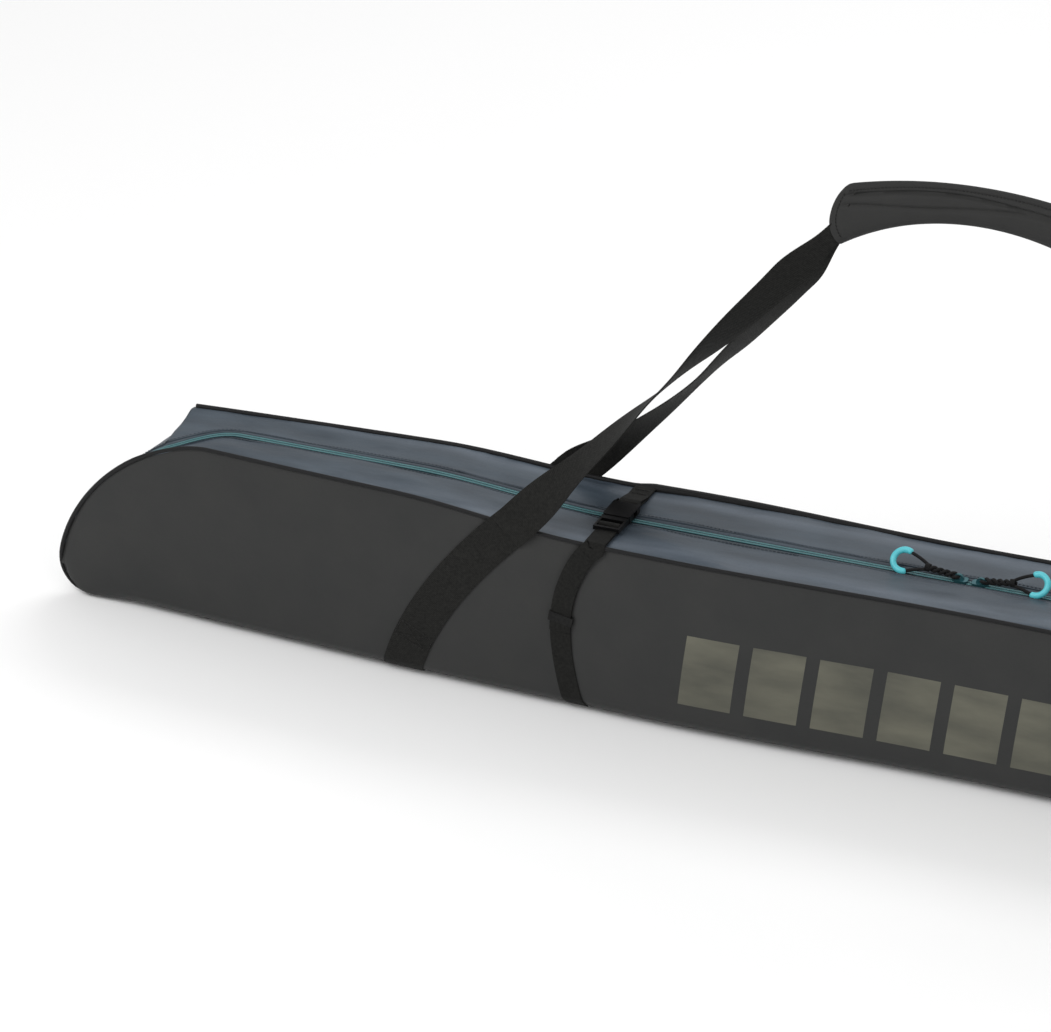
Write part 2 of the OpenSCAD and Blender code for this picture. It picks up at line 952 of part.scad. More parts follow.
front_panel();
back_panel();
base_panel();
gusset_front();
gusset_back();
gusset_front_left();
gusset_front_right();
gusset_back_left();
gusset_back_right();
front_padding();
back_padding();
base_padding();
front_piping();
back_piping();
zip_tape_front();
zip_tape_back();
zip_coil_front();
zip_coil_back();
zip_end_left();
zip_end_right();
zip_slider_left();
zip_slider_right();
pull_cord_left();
pull_cord_right();
pull_grip_left();
pull_grip_right();
sling_foot_left();
sling_foot_right();
sling_front_left();
sling_front_right();
sling_back_left();
sling_back_right();
leg_front_left();
leg_front_right();
leg_back_left();
leg_back_right();
grip_web_front();
grip_web_back();
grip_cover();
grip_foam_front();
grip_foam_back();
grip_closure();
strap_anchor_left();
strap_anchor_right();
strap_left();
strap_right();
strap_tail_left();
strap_tail_right();
strap_loop_left();
strap_loop_right();
buckle_female_left();
buckle_female_right();
buckle_male_left();
buckle_male_right();
buckle_prongs_left();
buckle_prongs_right();
keeper_left();
keeper_right();
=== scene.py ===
import json
import math

import bpy
import numpy as np
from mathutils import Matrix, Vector, noise


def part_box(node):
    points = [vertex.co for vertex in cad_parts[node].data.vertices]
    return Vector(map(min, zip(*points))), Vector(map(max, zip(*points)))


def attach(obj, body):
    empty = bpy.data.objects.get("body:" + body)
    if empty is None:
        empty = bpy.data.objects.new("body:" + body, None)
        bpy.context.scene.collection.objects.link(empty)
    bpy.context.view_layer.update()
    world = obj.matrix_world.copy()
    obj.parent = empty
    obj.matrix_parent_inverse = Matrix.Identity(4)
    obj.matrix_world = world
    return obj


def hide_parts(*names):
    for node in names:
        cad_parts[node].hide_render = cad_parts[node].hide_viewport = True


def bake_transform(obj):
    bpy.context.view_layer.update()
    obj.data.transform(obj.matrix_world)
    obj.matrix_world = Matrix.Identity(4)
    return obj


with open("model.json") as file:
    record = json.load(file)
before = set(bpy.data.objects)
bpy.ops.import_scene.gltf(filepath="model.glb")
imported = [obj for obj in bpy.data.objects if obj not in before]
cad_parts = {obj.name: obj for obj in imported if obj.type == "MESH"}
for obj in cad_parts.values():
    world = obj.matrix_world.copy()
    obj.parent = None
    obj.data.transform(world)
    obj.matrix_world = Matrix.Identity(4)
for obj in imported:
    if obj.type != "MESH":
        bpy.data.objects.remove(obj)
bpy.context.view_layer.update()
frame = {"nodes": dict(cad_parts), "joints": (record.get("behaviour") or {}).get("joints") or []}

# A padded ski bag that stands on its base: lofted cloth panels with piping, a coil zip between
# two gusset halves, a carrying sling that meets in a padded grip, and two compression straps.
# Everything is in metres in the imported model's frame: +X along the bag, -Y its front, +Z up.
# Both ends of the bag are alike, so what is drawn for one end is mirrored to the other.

# ---------------------------------------------------------------- driving values


def middle_and_width(node):
    """Where a node lies along the bag, and how wide it is there."""
    low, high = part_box(node)
    return (low.x + high.x) / 2, high.x - low.x


def joint_place(name):
    return Vector(next(j["pos_m"] for j in frame["joints"] if j["name"] == name))


MM = 0.001
ENDS = ((-1, "left"), (1, "right"))
SIDES = ((-1, "front"), (1, "back"))
BASE_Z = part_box("front_panel")[0].z
HALF_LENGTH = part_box("front_panel")[1].x
STRAP_X, STRAP_W = middle_and_width("strap_anchor_right")
FOOT_X, SLING_W = middle_and_width("sling_foot_right")
FEMALE_LOW, FEMALE_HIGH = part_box("buckle_female_right")
MALE_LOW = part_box("buckle_male_right")[0]
KEEPER_LOW, KEEPER_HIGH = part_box("keeper_right")
HINGE = joint_place("handle_swing")
TOP_Z = HINGE.z - 2.6 * MM
PULL_EYE = joint_place("pull_right_swing")
GRIP_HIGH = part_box("grip_cover")[1]
GRIP_TOP = GRIP_HIGH.z - 2.0 * MM
# Radii of the grip's lower edge and of its top edge
GRIP_BEND, GRIP_CROWN = 0.235, 0.46

# Side view of the front face: a fuller quarter curve rounds each end, a quarter circle its foot
END_CURVE = 161 * MM
END_POWER = 1.7
CORNER = 30 * MM
# How much higher the top seams lie outside the compression straps, and where they rise
LIFT = 11.9 * MM
LIFT_FROM, LIFT_TO = 0.3425, 0.5363
# Plan view: half the depth in the middle, at its widest and at the ends
DEPTH_MIDDLE, DEPTH_WIDEST, DEPTH_END = 61.0 * MM, 65.3 * MM, 28.2 * MM
WIDEST_X = 0.24
# The back face's top ends sooner than the front one's, in a corner and a slanting edge, and its
# foot ends so much further out. The front edge has reached the crease's angle at that corner.
BACK_CORNER_X = 0.7675
BACK_SPREAD = 84 * MM
CREASE = 67.9
# Panels: their cloth, the foam behind it and how far that lies in from the cloth's outer side
CLOTH_T = 1.2 * MM
FOAM_T, FOAM_INSET = 3.6 * MM, 2.2 * MM
# Soft forms of the faces: how far they swell, and the radius with which they turn under
BELLY = 6 * MM
TUCK = 19 * MM
# Zip: half the slit in the gusset, the coil's reach from its middle, the pitch of its teeth,
# where it turns towards the front seam, how near it gets, and the end's angle where it stops
SLIT = 5.0 * MM
CHAIN = 3.3 * MM
TOOTH = 1.5 * MM
ZIP_TURN_FROM, ZIP_TURN_TO = 0.713, 0.776
ZIP_TO_SEAM = 8.0 * MM
ZIP_STOP = 25
# Webbing: thicknesses, how far it lies off the cloth, the sling's place at the seams and its bow
# on the faces, its shift inwards on the back, and the strap's swing outwards on the front
LIE = 0.05 * MM
TAIL_LIFT = 1.5 * MM
BACK_SHIFT = 10 * MM
SLING_T = 1.6 * MM
STRAP_T = 1.2 * MM
SEAM_X = 0.419
SLING_BOW = 15 * MM
STRAP_SWING = 33 * MM
PIPE_R = 1.9 * MM
# Printed band low on the front: its middle height, half its height and length, and the lean,
# half the pitch and half the gap of its bars
PRINT_Z, PRINT_HALF_Z, PRINT_HALF_X = 0.070, 0.036, 0.248
BAR_LEAN, BAR_HALF_PITCH, BAR_HALF_GAP = 0.13, 31.5 * MM, 6.5 * MM
# Zip pull: from the eye to the bow's middle, how much it rises over that, the bow's radius,
# its tilt about the pull's length and the angle at which its ends lie
PULL_REACH, PULL_RISE = 52 * MM, 6 * MM
BOW_R, BOW_TILT, BOW_END = 10 * MM, math.radians(45), math.radians(120)

SHOULDER = TOP_Z + LIFT
FOOT_Z = BASE_Z + CORNER


def smooth(t):
    t = np.clip(t, 0.0, 1.0)
    return t * t * (3 - 2 * t)


def seam_z(x):
    """Height of both top seams, away from the rounded ends."""
    return TOP_Z + LIFT * smooth((np.abs(x) - LIFT_FROM) / (LIFT_TO - LIFT_FROM))


def half_depth(x):
    """Half the bag's depth at the top seams."""
    x = np.abs(x)
    middle = DEPTH_MIDDLE + (DEPTH_WIDEST - DEPTH_MIDDLE) * smooth(x / WIDEST_X)
    run = np.clip((x - WIDEST_X) / (HALF_LENGTH - WIDEST_X), 0, 1.05)
    return middle - (DEPTH_WIDEST - DEPTH_END) * run**1.5


def front_edge(a):
    """Right edge of the front face at the angle a: -90 to 0 is the foot's corner, 0 to 90 the end."""
    r = math.radians(a)
    if a < 0:
        return HALF_LENGTH - CORNER + CORNER * math.cos(r), FOOT_Z + CORNER * math.sin(r)
    u, v = max(0.0, math.cos(r)) ** (2 / END_POWER), max(0.0, math.sin(r)) ** (2 / END_POWER)
    return HALF_LENGTH - END_CURVE + END_CURVE * u, FOOT_Z + (SHOULDER - FOOT_Z) * v


def back_edge(a):
    """Right edge of the back face, which goes with the front edge at the same angle."""
    if a >= CREASE:
        return front_edge(a)[0] - 1 * MM, SHOULDER
    foot_x = BACK_CORNER_X + BACK_SPREAD
    if a >= 0:
        q = (front_edge(a)[1] - FOOT_Z) / (front_edge(CREASE)[1] - FOOT_Z)
        return foot_x - BACK_SPREAD * q, FOOT_Z + (SHOULDER - FOOT_Z) * q
    r = math.radians(a)
    return foot_x - CORNER + CORNER * math.cos(r), FOOT_Z + CORNER * math.sin(r)


def sling_x(z):
    """Middle of the sling's webbing on the faces at the height z."""
    h = (z - BASE_Z) / (TOP_Z - BASE_Z)
    return FOOT_X + (SEAM_X - FOOT_X) * h + SLING_BOW * 4 * h * (1 - h)


def strap_swing(z):
    """How far the compression strap has swung outwards on the front face at the height z."""
    top = TOP_Z - 1 * MM
    t = np.clip((top - z) / (top - BASE_Z), 0, 1)
    return STRAP_SWING * np.sin(np.radians(145 * t**0.75))


def ripple(x, z, size, seed):
    """Smooth noise between about -1 and 1, the same on every run."""
    flat = np.broadcast_arrays(np.asarray(x, float), np.asarray(z, float))
    values = [noise.noise(Vector((a / size, b / size, seed)))
              for a, b in zip(flat[0].ravel(), flat[1].ravel())]
    return np.array(values).reshape(flat[0].shape)


def bump(t, width):
    return np.exp(-((t / width) ** 2))


def tuck_radius(x, z):
    """Radius with which the faces turn under at the base; higher up it runs out."""
    return TUCK * (1 - smooth((z - BASE_Z) / 0.046)) * (1 - 0.65 * smooth((np.abs(x) - 0.80) / 0.07))


def face_depth(x, z, side):
    """How far the cloth of the front (side -1) or back face (1) lies from the middle plane."""
    ax = np.abs(x)
    top = seam_z(x)
    h = np.clip((z - BASE_Z) / (top - BASE_Z), 0, 1)
    off_strap = ax - STRAP_X - strap_swing(z)
    along = (1 - 0.55 * bump(off_strap, 0.05) * (side < 0)) * (1 - 0.8 * smooth((ax - 0.56) / 0.28))
    belly = BELLY * along * (4 * h * (1 - h)) ** 0.8
    seed = 3.1 if side < 0 else 17.7
    free = np.sqrt(h * (1 - h)) * 2
    waves = 1.7 * MM * ripple(x, 2.2 * z, 0.17, seed) * free
    small = 0.5 * MM * ripple(1.2 * x, z, 0.05, seed + 9) * free
    pucker = 0.5 * MM * ripple(x, 0.4 * z, 0.016, seed + 5) * np.exp(-(top - z) / 0.011)
    sling = 1.1 * MM * np.exp(-(((ax - sling_x(z)) / 0.024) ** 4))
    strap = 1.6 * MM * bump(off_strap, 0.015) * (side < 0)
    edge = smooth(((HALF_LENGTH if side < 0 else 0.85) - ax) / 0.06)
    corner = np.hypot(ax - (HALF_LENGTH - CORNER), z - FOOT_Z)
    d = np.where((ax > HALF_LENGTH - CORNER) & (z < FOOT_Z), CORNER - corner, z - BASE_Z)
    r = tuck_radius(x, z)
    inset = r - np.sqrt(np.maximum(r**2 - np.maximum(r - np.maximum(d, 0), 0) ** 2, 0))
    return (half_depth(x) + edge * (belly + waves + small) + pucker - (sling + strap) * edge - inset)


# ---------------------------------------------------------------- mesh tools


def linear(rgb):
    """A colour of 0 to 255 as the shader wants it."""
    return tuple(((c / 255 + 0.055) / 1.055) ** 2.4 if c > 10 else c / 255 / 12.92 for c in rgb)


def make_mesh(name, vertices, faces, uvs=None, sharp=None):
    mesh = bpy.data.meshes.new(name)
    mesh.from_pydata([tuple(v) for v in vertices], [], [tuple(f) for f in faces])
    if uvs is not None:
        layer = mesh.uv_layers.new(name="UVMap")
        index = np.zeros(len(mesh.loops), int)
        mesh.loops.foreach_get("vertex_index", index)
        layer.data.foreach_set("uv", np.asarray(uvs, float)[index].ravel())
    mesh.polygons.foreach_set("use_smooth", [True] * len(mesh.polygons))
    if sharp is not None:
        mesh.set_sharp_from_angle(angle=math.radians(sharp))
    mesh.update()
    piece = bpy.data.objects.new(name, mesh)
    bpy.context.scene.collection.objects.link(piece)
    return piece


def grid_faces(rows, columns, around=False, start=0):
    """Quads of a grid of vertices; around joins the last column to the first."""
    faces = []
    for i in range(rows - 1):
        for j in range(columns - (0 if around else 1)):
            k = (j + 1) % columns
            faces.append((start + i * columns + j, start + i * columns + k,
                          start + (i + 1) * columns + k, start + (i + 1) * columns + j))
    return faces


def tube_faces(rows, sides, start=0):
    """Faces of a tube whose rings follow each other, and which is shut at both ends."""
    last = start + (rows - 1) * sides
    return [*grid_faces(rows, sides, around=True, start=start),
            tuple(range(start, start + sides))[::-1], tuple(range(last, last + sides))]


def outward(points, faces):
    """The faces of a closed form, turned so that they all look out of it."""
    p = np.asarray(points, float)
    volume = 0.0
    for f in faces:
        for i in range(1, len(f) - 1):
            volume += np.dot(p[f[0]], np.cross(p[f[i]], p[f[i + 1]]))
    return faces if volume > 0 else [tuple(f)[::-1] for f in faces]


def grid_uv(points):
    """Distances along both directions of a grid, so that a weave keeps its real size."""
    across = np.linalg.norm(np.diff(points, axis=1), axis=2).mean(0)
    along = np.linalg.norm(np.diff(points, axis=0), axis=2).mean(1)
    return np.stack(np.meshgrid(*(np.cumsum([0, *steps]) for steps in (across, along))), axis=2)


def sheet_mesh(name, points, thickness=CLOTH_T, flip=False):
    """A cloth: a grid of points, given its thickness inwards."""
    faces = grid_faces(*points.shape[:2])
    if flip:
        faces = [f[::-1] for f in faces]
    piece = make_mesh(name, points.reshape(-1, 3), faces, grid_uv(points).reshape(-1, 2))
    solid = piece.modifiers.new("Thickness", "SOLIDIFY")
    solid.thickness = thickness
    solid.offset = -1
    return piece


def slab_mesh(name, lower, upper):
    """A closed band between two grids of points, one on each side of the webbing."""
    rows, columns = lower.shape[:2]
    count = rows * columns
    faces = grid_faces(rows, columns, start=count) + [f[::-1] for f in grid_faces(rows, columns)]
    for i in range(rows - 1):
        a, b = i * columns, (i + 1) * columns
        faces.append((a, a + count, b + count, b))
        a, b = a + columns - 1, b + columns - 1
        faces.append((a, b, b + count, a + count))
    for j in range(columns - 1):
        faces.append((j, j + 1, j + 1 + count, j + count))
        a = (rows - 1) * columns + j
        faces.append((a, a + count, a + 1 + count, a + 1))
    uv = grid_uv(upper).reshape(-1, 2)
    points = np.concatenate([lower.reshape(-1, 3), upper.reshape(-1, 3)])
    return make_mesh(name, points, outward(points, faces), np.concatenate([uv, uv]), sharp=50)


def unit(v):
    return v / np.maximum(np.linalg.norm(v, axis=-1, keepdims=True), 1e-12)


def tangents(path):
    return unit(np.gradient(path, axis=0))


def distances(path):
    """How far along a line each of its points lies."""
    return np.concatenate([[0], np.cumsum(np.linalg.norm(np.diff(path, axis=0), axis=1))])


def sampled(at, run, values):
    """Points or directions, known at the distances in run, at the distances in at."""
    return np.stack([np.interp(at, run, values[:, k]) for k in range(3)], axis=-1)


def spread(points, directions, reach):
    """A line spread into a grid, or a grid lifted: each row goes along its own direction."""
    if points.ndim == 2:
        points = points[:, None]
    if directions.ndim == 2:
        directions = directions[:, None]
    return points + directions * np.asarray(reach)[..., None]


def band_profile(count=9):
    """Places across a webbing from -1 to 1, closer at its edges, and how thick it is there."""
    c = np.sin(np.linspace(-math.pi / 2, math.pi / 2, count))
    return c, 1 - 0.45 * np.abs(c) ** 14


def evened(values, count):
    """A running mean of so many values along the first axis."""
    half = count // 2
    padded = np.concatenate([[values[0]] * half, values, [values[-1]] * half])
    return sum(padded[i:i + len(values)] for i in range(count)) / count


def flat_across(path):
    """Across a band that runs along the path: as near to the bag's length as it can be."""
    t = tangents(path)
    return unit(np.array([1.0, 0.0, 0.0]) - t * t[:, :1])


def turned(path, across, degrees):
    """The same direction, turned about the path."""
    angle = np.radians(degrees)[:, None]
    return np.cos(angle) * across + np.sin(angle) * np.cross(tangents(path), across)


def webbing(name, path, width, thickness, across=None):
    """A flat band whose middle runs along a path. Across points to its side, and is as near to
    the bag's length as it can be where it isn't given."""
    across = flat_across(path) if across is None else across
    c, share = band_profile()
    width = np.broadcast_to(np.asarray(width, float), (len(path),))
    thickness = np.broadcast_to(np.asarray(thickness, float), (len(path),))
    normal = unit(np.cross(tangents(path), across))
    middle = spread(path, across, c * width[:, None] / 2)
    half = thickness[:, None] * share / 2
    return slab_mesh(name, spread(middle, normal, -half), spread(middle, normal, half))


def rounded(points, radius, rounds=3):
    """A line with its corners rounded off from about the radius before them."""
    points = np.asarray(points, float)
    path = [points[0]]
    for before, corner, after in zip(points[:-2], points[1:-1], points[2:]):
        for other in (before, after):
            reach = np.linalg.norm(other - corner)
            path.append(corner + (other - corner) * min(radius, 0.45 * reach) / reach)
            if other is before:
                path.append(corner)
    path = np.array([*path, points[-1]])
    for _ in range(rounds):
        a, b = path[:-1], path[1:]
        cut = np.stack([0.75 * a + 0.25 * b, 0.25 * a + 0.75 * b], axis=1).reshape(-1, 3)
        path = np.concatenate([path[:1], cut, path[-1:]])
    return path


def bezier(p0, p1, p2, p3, count):
    t = np.linspace(0, 1, count)[:, None]
    p0, p1, p2, p3 = (np.asarray(p, float) for p in (p0, p1, p2, p3))
    return ((1 - t) ** 3 * p0 + 3 * (1 - t) ** 2 * t * p1 + 3 * (1 - t) * t**2 * p2 + t**3 * p3)


def evenly(path, step):
    """The same line with points a step apart."""
    run = distances(path)
    return sampled(np.linspace(0, run[-1], max(2, round(run[-1] / step) + 1)), run, path)


def tube(name, path, radius, sides=10, hint=(0, 1, 0)):
    """A round cord along a path, closed at both ends; radius may change along it."""
    forward = tangents(path)
    side = unit(np.cross(forward, np.broadcast_to(np.asarray(hint, float), path.shape)))
    up = np.cross(side, forward)
    angle = np.linspace(0, 2 * math.pi, sides, endpoint=False)
    radius = np.broadcast_to(np.asarray(radius, float), (len(path),))
    ring = (side[:, None] * np.cos(angle)[None, :, None] + up[:, None] * np.sin(angle)[None, :, None])
    points = path[:, None] + ring * radius[:, None, None]
    points = points.reshape(-1, 3)
    uv = np.stack(np.meshgrid(angle * radius.mean(), distances(path)), axis=2)
    faces = outward(points, tube_faces(len(path), sides))
    return make_mesh(name, points, faces, uv.reshape(-1, 2), sharp=60)


def stitch_mesh(name, lines, pitch=3.6 * MM, length=2.8 * MM, radius=0.38 * MM):
    """Sewing thread: short arched stitches along lines, each given as (path, normals)."""
    vertices, faces = [], []
    steps, sides = 4, 5
    angle = np.linspace(0, 2 * math.pi, sides, endpoint=False)
    size = radius * np.array([0.55, 1, 1, 1, 0.55])
    for path, normals in lines:
        run = distances(path)
        if run[-1] < 2 * pitch:
            continue
        for m in np.arange(pitch, run[-1] - pitch / 2, pitch):
            line = sampled(m + np.linspace(-0.5, 0.5, steps + 1) * length, run, path)
            up = unit(sampled(m, run, normals))
            arch = radius * (1 - np.linspace(-1, 1, steps + 1) ** 2) * 1.3
            line = line + up[None] * arch[:, None] - up[None] * radius * 0.2
            forward = unit(line[-1] - line[0])
            side = np.cross(forward, up)
            ring = side[None] * np.cos(angle)[:, None] + up[None] * np.sin(angle)[:, None]
            points = line[:, None] + ring[None] * size[:, None, None]
            faces.extend(tube_faces(steps + 1, sides, start=len(vertices)))
            vertices.extend(points.reshape(-1, 3))
    return make_mesh(name, vertices, faces)


def place(piece, material, body, slot, *nodes):
    """Gives a piece its material and its body, and hides the CAD nodes that it stands for; the slot is
    not used.
    """
    piece.data.materials.append(material)
    if body is not None:
        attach(piece, body)
    if nodes:
        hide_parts(*nodes)
    return piece


# ---------------------------------------------------------------- materials


class Shader:
    """A material whose node tree is written as short calls."""

    def __init__(self, name, roughness, **fixed):
        self.material = bpy.data.materials.new(name)
        self.material.use_nodes = True
        self.tree = self.material.node_tree
        self.surface = self.tree.nodes["Principled BSDF"]
        self.surface.inputs["Roughness"].default_value = roughness
        for key, value in fixed.items():
            self.surface.inputs[key.replace("_", " ")].default_value = value

    def node(self, kind, inputs=(), **settings):
        node = self.tree.nodes.new(kind)
        for key, value in settings.items():
            setattr(node, key, value)
        for key, value in dict(inputs).items():
            if isinstance(value, bpy.types.NodeSocket):
                self.tree.links.new(value, node.inputs[key])
            else:
                node.inputs[key].default_value = value
        return node

    def where(self, space="Object"):
        """The place on the bag, or on the cloth where the space is UV; both in metres."""
        return self.node("ShaderNodeTexCoord").outputs[space]

    def axes(self):
        """X, y and z of the place on the bag."""
        return self.node("ShaderNodeSeparateXYZ", {0: self.where()}).outputs

    def math(self, operation, a, b=0.0, c=0.0):
        return self.node("ShaderNodeMath", {0: a, 1: b, 2: c}, operation=operation).outputs[0]

    def clamp(self, value):
        return self.node("ShaderNodeClamp", {0: value}).outputs[0]

    def contrast(self, value, gain, middle=0.5, level=0.5):
        """The value's distance from a middle times a gain, counted from a level."""
        return self.math("MULTIPLY_ADD", self.math("SUBTRACT", value, middle), gain, level)

    def weighted(self, a, share, b):
        """So much of a, and the rest of b."""
        return self.math("MULTIPLY_ADD", a, share, self.math("MULTIPLY", b, 1 - share))

    def noise(self, size, detail=3.0, stretch=(1, 1, 1)):
        """Noise of a size in metres, from 0 to 1, fixed to the place on the bag."""
        scaled = self.node("ShaderNodeMapping", {"Vector": self.where(), "Scale": stretch}).outputs[0]
        inputs = {"Vector": scaled, "Scale": 1 / size, "Detail": detail}
        return self.node("ShaderNodeTexNoise", inputs).outputs["Fac"]

    def wave(self, period, axis):
        """A sine of the given period in metres along one axis of the cloth, from 0 to 1."""
        inputs = {"Vector": self.where("UV"), "Scale": 2 * math.pi / (20 * period)}
        return self.node("ShaderNodeTexWave", inputs, bands_direction=axis).outputs["Fac"]

    def plain_weave(self, thread):
        """Height of a plain weave: threads over and under each other."""
        return self.contrast(self.wave(thread, "X"), 0.5, self.wave(thread, "Y"))

    def mix(self, factor, a, b):
        node = self.node("ShaderNodeMix", data_type="RGBA")
        colours = [s for s in node.inputs if s.type == "RGBA"]
        for socket, value in ((node.inputs[0], factor), (colours[0], a), (colours[1], b)):
            if isinstance(value, bpy.types.NodeSocket):
                self.tree.links.new(value, socket)
            else:
                socket.default_value = value if isinstance(value, float) else (*value, 1.0)
        return next(s for s in node.outputs if s.type == "RGBA")

    def tones(self, factor, dark, light):
        """A colour between two of 0 to 255."""
        return self.mix(factor, linear(dark), linear(light))

    def colour(self, value):
        self.tree.links.new(value, self.surface.inputs["Base Color"])

    def roughness(self, factor, low, high):
        inputs = {"Value": factor, "To Min": low, "To Max": high}
        value = self.node("ShaderNodeMapRange", inputs).outputs[0]
        self.tree.links.new(value, self.surface.inputs["Roughness"])

    def relief(self, *layers):
        """Bumps from pairs of (height from 0 to 1, its depth in metres)."""
        normal = None
        for height, depth in layers:
            inputs = {"Height": height, "Distance": depth, "Strength": 1.0}
            if normal is not None:
                inputs["Normal"] = normal
            normal = self.node("ShaderNodeBump", inputs).outputs[0]
        self.tree.links.new(normal, self.surface.inputs["Normal"])


def shell_cloth():
    """Coated polyester of the two faces: dark grey, with a soft shine and a fine weave.
    A band of slanted bars in a muted tone is printed low on the middle of the front."""
    s = Shader("shell_cloth", 0.5, Specular_IOR_Level=0.26)
    mottle = s.noise(0.05, 4)
    base = s.tones(s.contrast(mottle, 1.4), (39, 40, 40), (50, 50, 49))
    base = s.mix(s.math("MULTIPLY", s.noise(0.0022, 2), 0.25), base, linear((38, 38, 38)))
    x, y, z = s.axes()
    height = s.math("SUBTRACT", z, PRINT_Z)
    slant = s.math("MULTIPLY_ADD", height, -BAR_LEAN, x)
    mask = s.math("GREATER_THAN", s.math("PINGPONG", slant, BAR_HALF_PITCH), BAR_HALF_GAP)
    for value, limit in ((s.math("ABSOLUTE", slant), PRINT_HALF_X),
                         (s.math("ABSOLUTE", height), PRINT_HALF_Z), (y, 0.0)):
        mask = s.math("MULTIPLY", mask, s.math("LESS_THAN", value, limit))
    blot = s.clamp(s.contrast(s.noise(0.05, 4, stretch=(0.6, 1, 2.0)), 2.6))
    s.colour(s.mix(mask, base, s.tones(blot, (76, 76, 68), (100, 99, 87))))
    s.roughness(s.math("MULTIPLY_ADD", mask, -0.25, mottle), 0.42, 0.62)
    s.relief((s.plain_weave(0.9 * MM), 0.05 * MM), (s.noise(0.012, 3), 0.25 * MM))
    return s.material


def gusset_cloth():
    """Blue-grey coated cloth with a satin shine and fine creases, and a painted highlight: paler
    streaks painted into its colour where both halves turn down to their seams."""
    s = Shader("gusset_cloth", 0.42, Specular_IOR_Level=0.36)
    mottle = s.noise(0.02, 4, stretch=(0.3, 1, 1))
    base = s.tones(s.contrast(mottle, 1.8), (44, 53, 62), (74, 85, 95))
    # Painted highlight: a paler colour in noisy streaks, in bands near both seams, stands in for light
    # caught where the cloth turns down
    highlight_streaks = s.contrast(s.noise(0.032, 3, stretch=(0.16, 1, 1)), 3.0, 0.42, 0.3)
    highlight_y, highlight_half = 0.049, 0.016
    away = s.math("ABSOLUTE", s.math("SUBTRACT", s.math("ABSOLUTE", s.axes()[1]), highlight_y))
    painted_highlight = s.math("SUBTRACT", 1.0, s.math("DIVIDE", away, highlight_half))
    painted_highlight = s.clamp(s.math("MULTIPLY", painted_highlight, highlight_streaks))
    base = s.mix(s.math("MULTIPLY", painted_highlight, 0.75), base, linear((108, 118, 130)))
    base = s.mix(s.math("MULTIPLY", s.noise(0.0025, 2), 0.3), base, linear((48, 55, 63)))
    s.colour(base)
    s.roughness(mottle, 0.36, 0.56)
    creases = s.noise(0.011, 4, stretch=(0.45, 1.3, 1))
    s.relief((s.plain_weave(0.8 * MM), 0.04 * MM), (creases, 0.55 * MM))
    return s.material


def webbing_cloth(name, dark, light, rib, depth):
    """Woven webbing: ribs across, a fine twill along, and paler flecks."""
    s = Shader(name, 0.72, Specular_IOR_Level=0.14, Sheen_Weight=0.02, Sheen_Roughness=0.5)
    ribs = s.wave(rib, "Y")
    fuzz = s.noise(0.0012, 2)
    fleck = s.clamp(s.contrast(s.noise(0.0026, 4), 2.6))
    s.colour(s.tones(s.weighted(ribs, 0.4, fleck), dark, light))
    s.roughness(fuzz, 0.62, 0.85)
    s.relief((s.weighted(s.wave(rib * 0.8, "DIAGONAL"), 0.4, ribs), depth), (fuzz, 0.10 * MM))
    return s.material


def knit_cloth(name, dark, light, thread_size, roughness, sheen=0.01):
    """Plain cloth for the grip, the piping, the zip's tapes, the hook strip and the threads."""
    s = Shader(name, roughness, Specular_IOR_Level=0.2, Sheen_Weight=sheen, Sheen_Roughness=0.5)
    weave = s.plain_weave(thread_size)
    mottle = s.noise(0.02, 4)
    s.colour(s.tones(s.weighted(weave, 0.35, mottle), dark, light))
    s.roughness(mottle, roughness - 0.08, roughness + 0.1)
    s.relief((weave, 0.12 * MM), (s.noise(0.008, 3), 0.2 * MM))
    return s.material


def moulded(name, dark, light, roughness, grain, depth, **fixed):
    """Moulded plastic, rubber or lacquered metal: a fine grain and worn, slightly paler spots."""
    s = Shader(name, roughness, **fixed)
    fine = s.noise(grain, 2)
    s.colour(s.tones(s.noise(0.009, 4), dark, light))
    s.roughness(fine, roughness - 0.07, roughness + 0.1)
    s.relief((fine, depth))
    return s.material


def coil_plastic():
    """Monofilament of the zip's coils, in an uneven teal."""
    s = Shader("coil_plastic", 0.38, Coat_Weight=0.1)
    s.colour(s.tones(s.noise(0.006, 3), (46, 94, 100), (66, 116, 120)))
    s.roughness(s.noise(0.0015, 2), 0.3, 0.5)
    s.relief((s.noise(0.0008, 2), 0.04 * MM))
    return s.material


def foam_material():
    """Pale foam with open cells."""
    s = Shader("foam_sheet", 0.9)
    inputs = {"Vector": s.where(), "Scale": 1 / 0.0016}
    cells = s.node("ShaderNodeTexVoronoi", inputs).outputs["Distance"]
    s.colour(s.tones(s.noise(0.03, 3), (186, 186, 180), (204, 204, 198)))
    s.relief((cells, 0.2 * MM))
    return s.material


SHELL = shell_cloth()
GUSSET = gusset_cloth()
PIPING = knit_cloth("piping_cloth", (14, 14, 15), (26, 26, 27), 0.7 * MM, 0.48)
TAPE = knit_cloth("zip_tape_cloth", (24, 38, 44), (40, 57, 63), 0.6 * MM, 0.7)
COIL = coil_plastic()
SLIDER = moulded("slider_lacquer", (40, 84, 92), (58, 104, 110), 0.3, 0.002, 0.02 * MM, Metallic=0.6)
SLING = webbing_cloth("sling_webbing", (14, 14, 13), (35, 35, 33), 1.7 * MM, 0.28 * MM)
STRAP = webbing_cloth("strap_webbing", (11, 11, 10), (31, 31, 29), 1.3 * MM, 0.22 * MM)
GRIP = knit_cloth("grip_cloth", (37, 37, 37), (50, 50, 49), 0.9 * MM, 0.6)
HOOKS = knit_cloth("hook_strip", (16, 16, 17), (30, 30, 31), 1.2 * MM, 0.9, 0.1)
CORD = webbing_cloth("cord_braid", (18, 18, 19), (34, 34, 34), 1.1 * MM, 0.2 * MM)
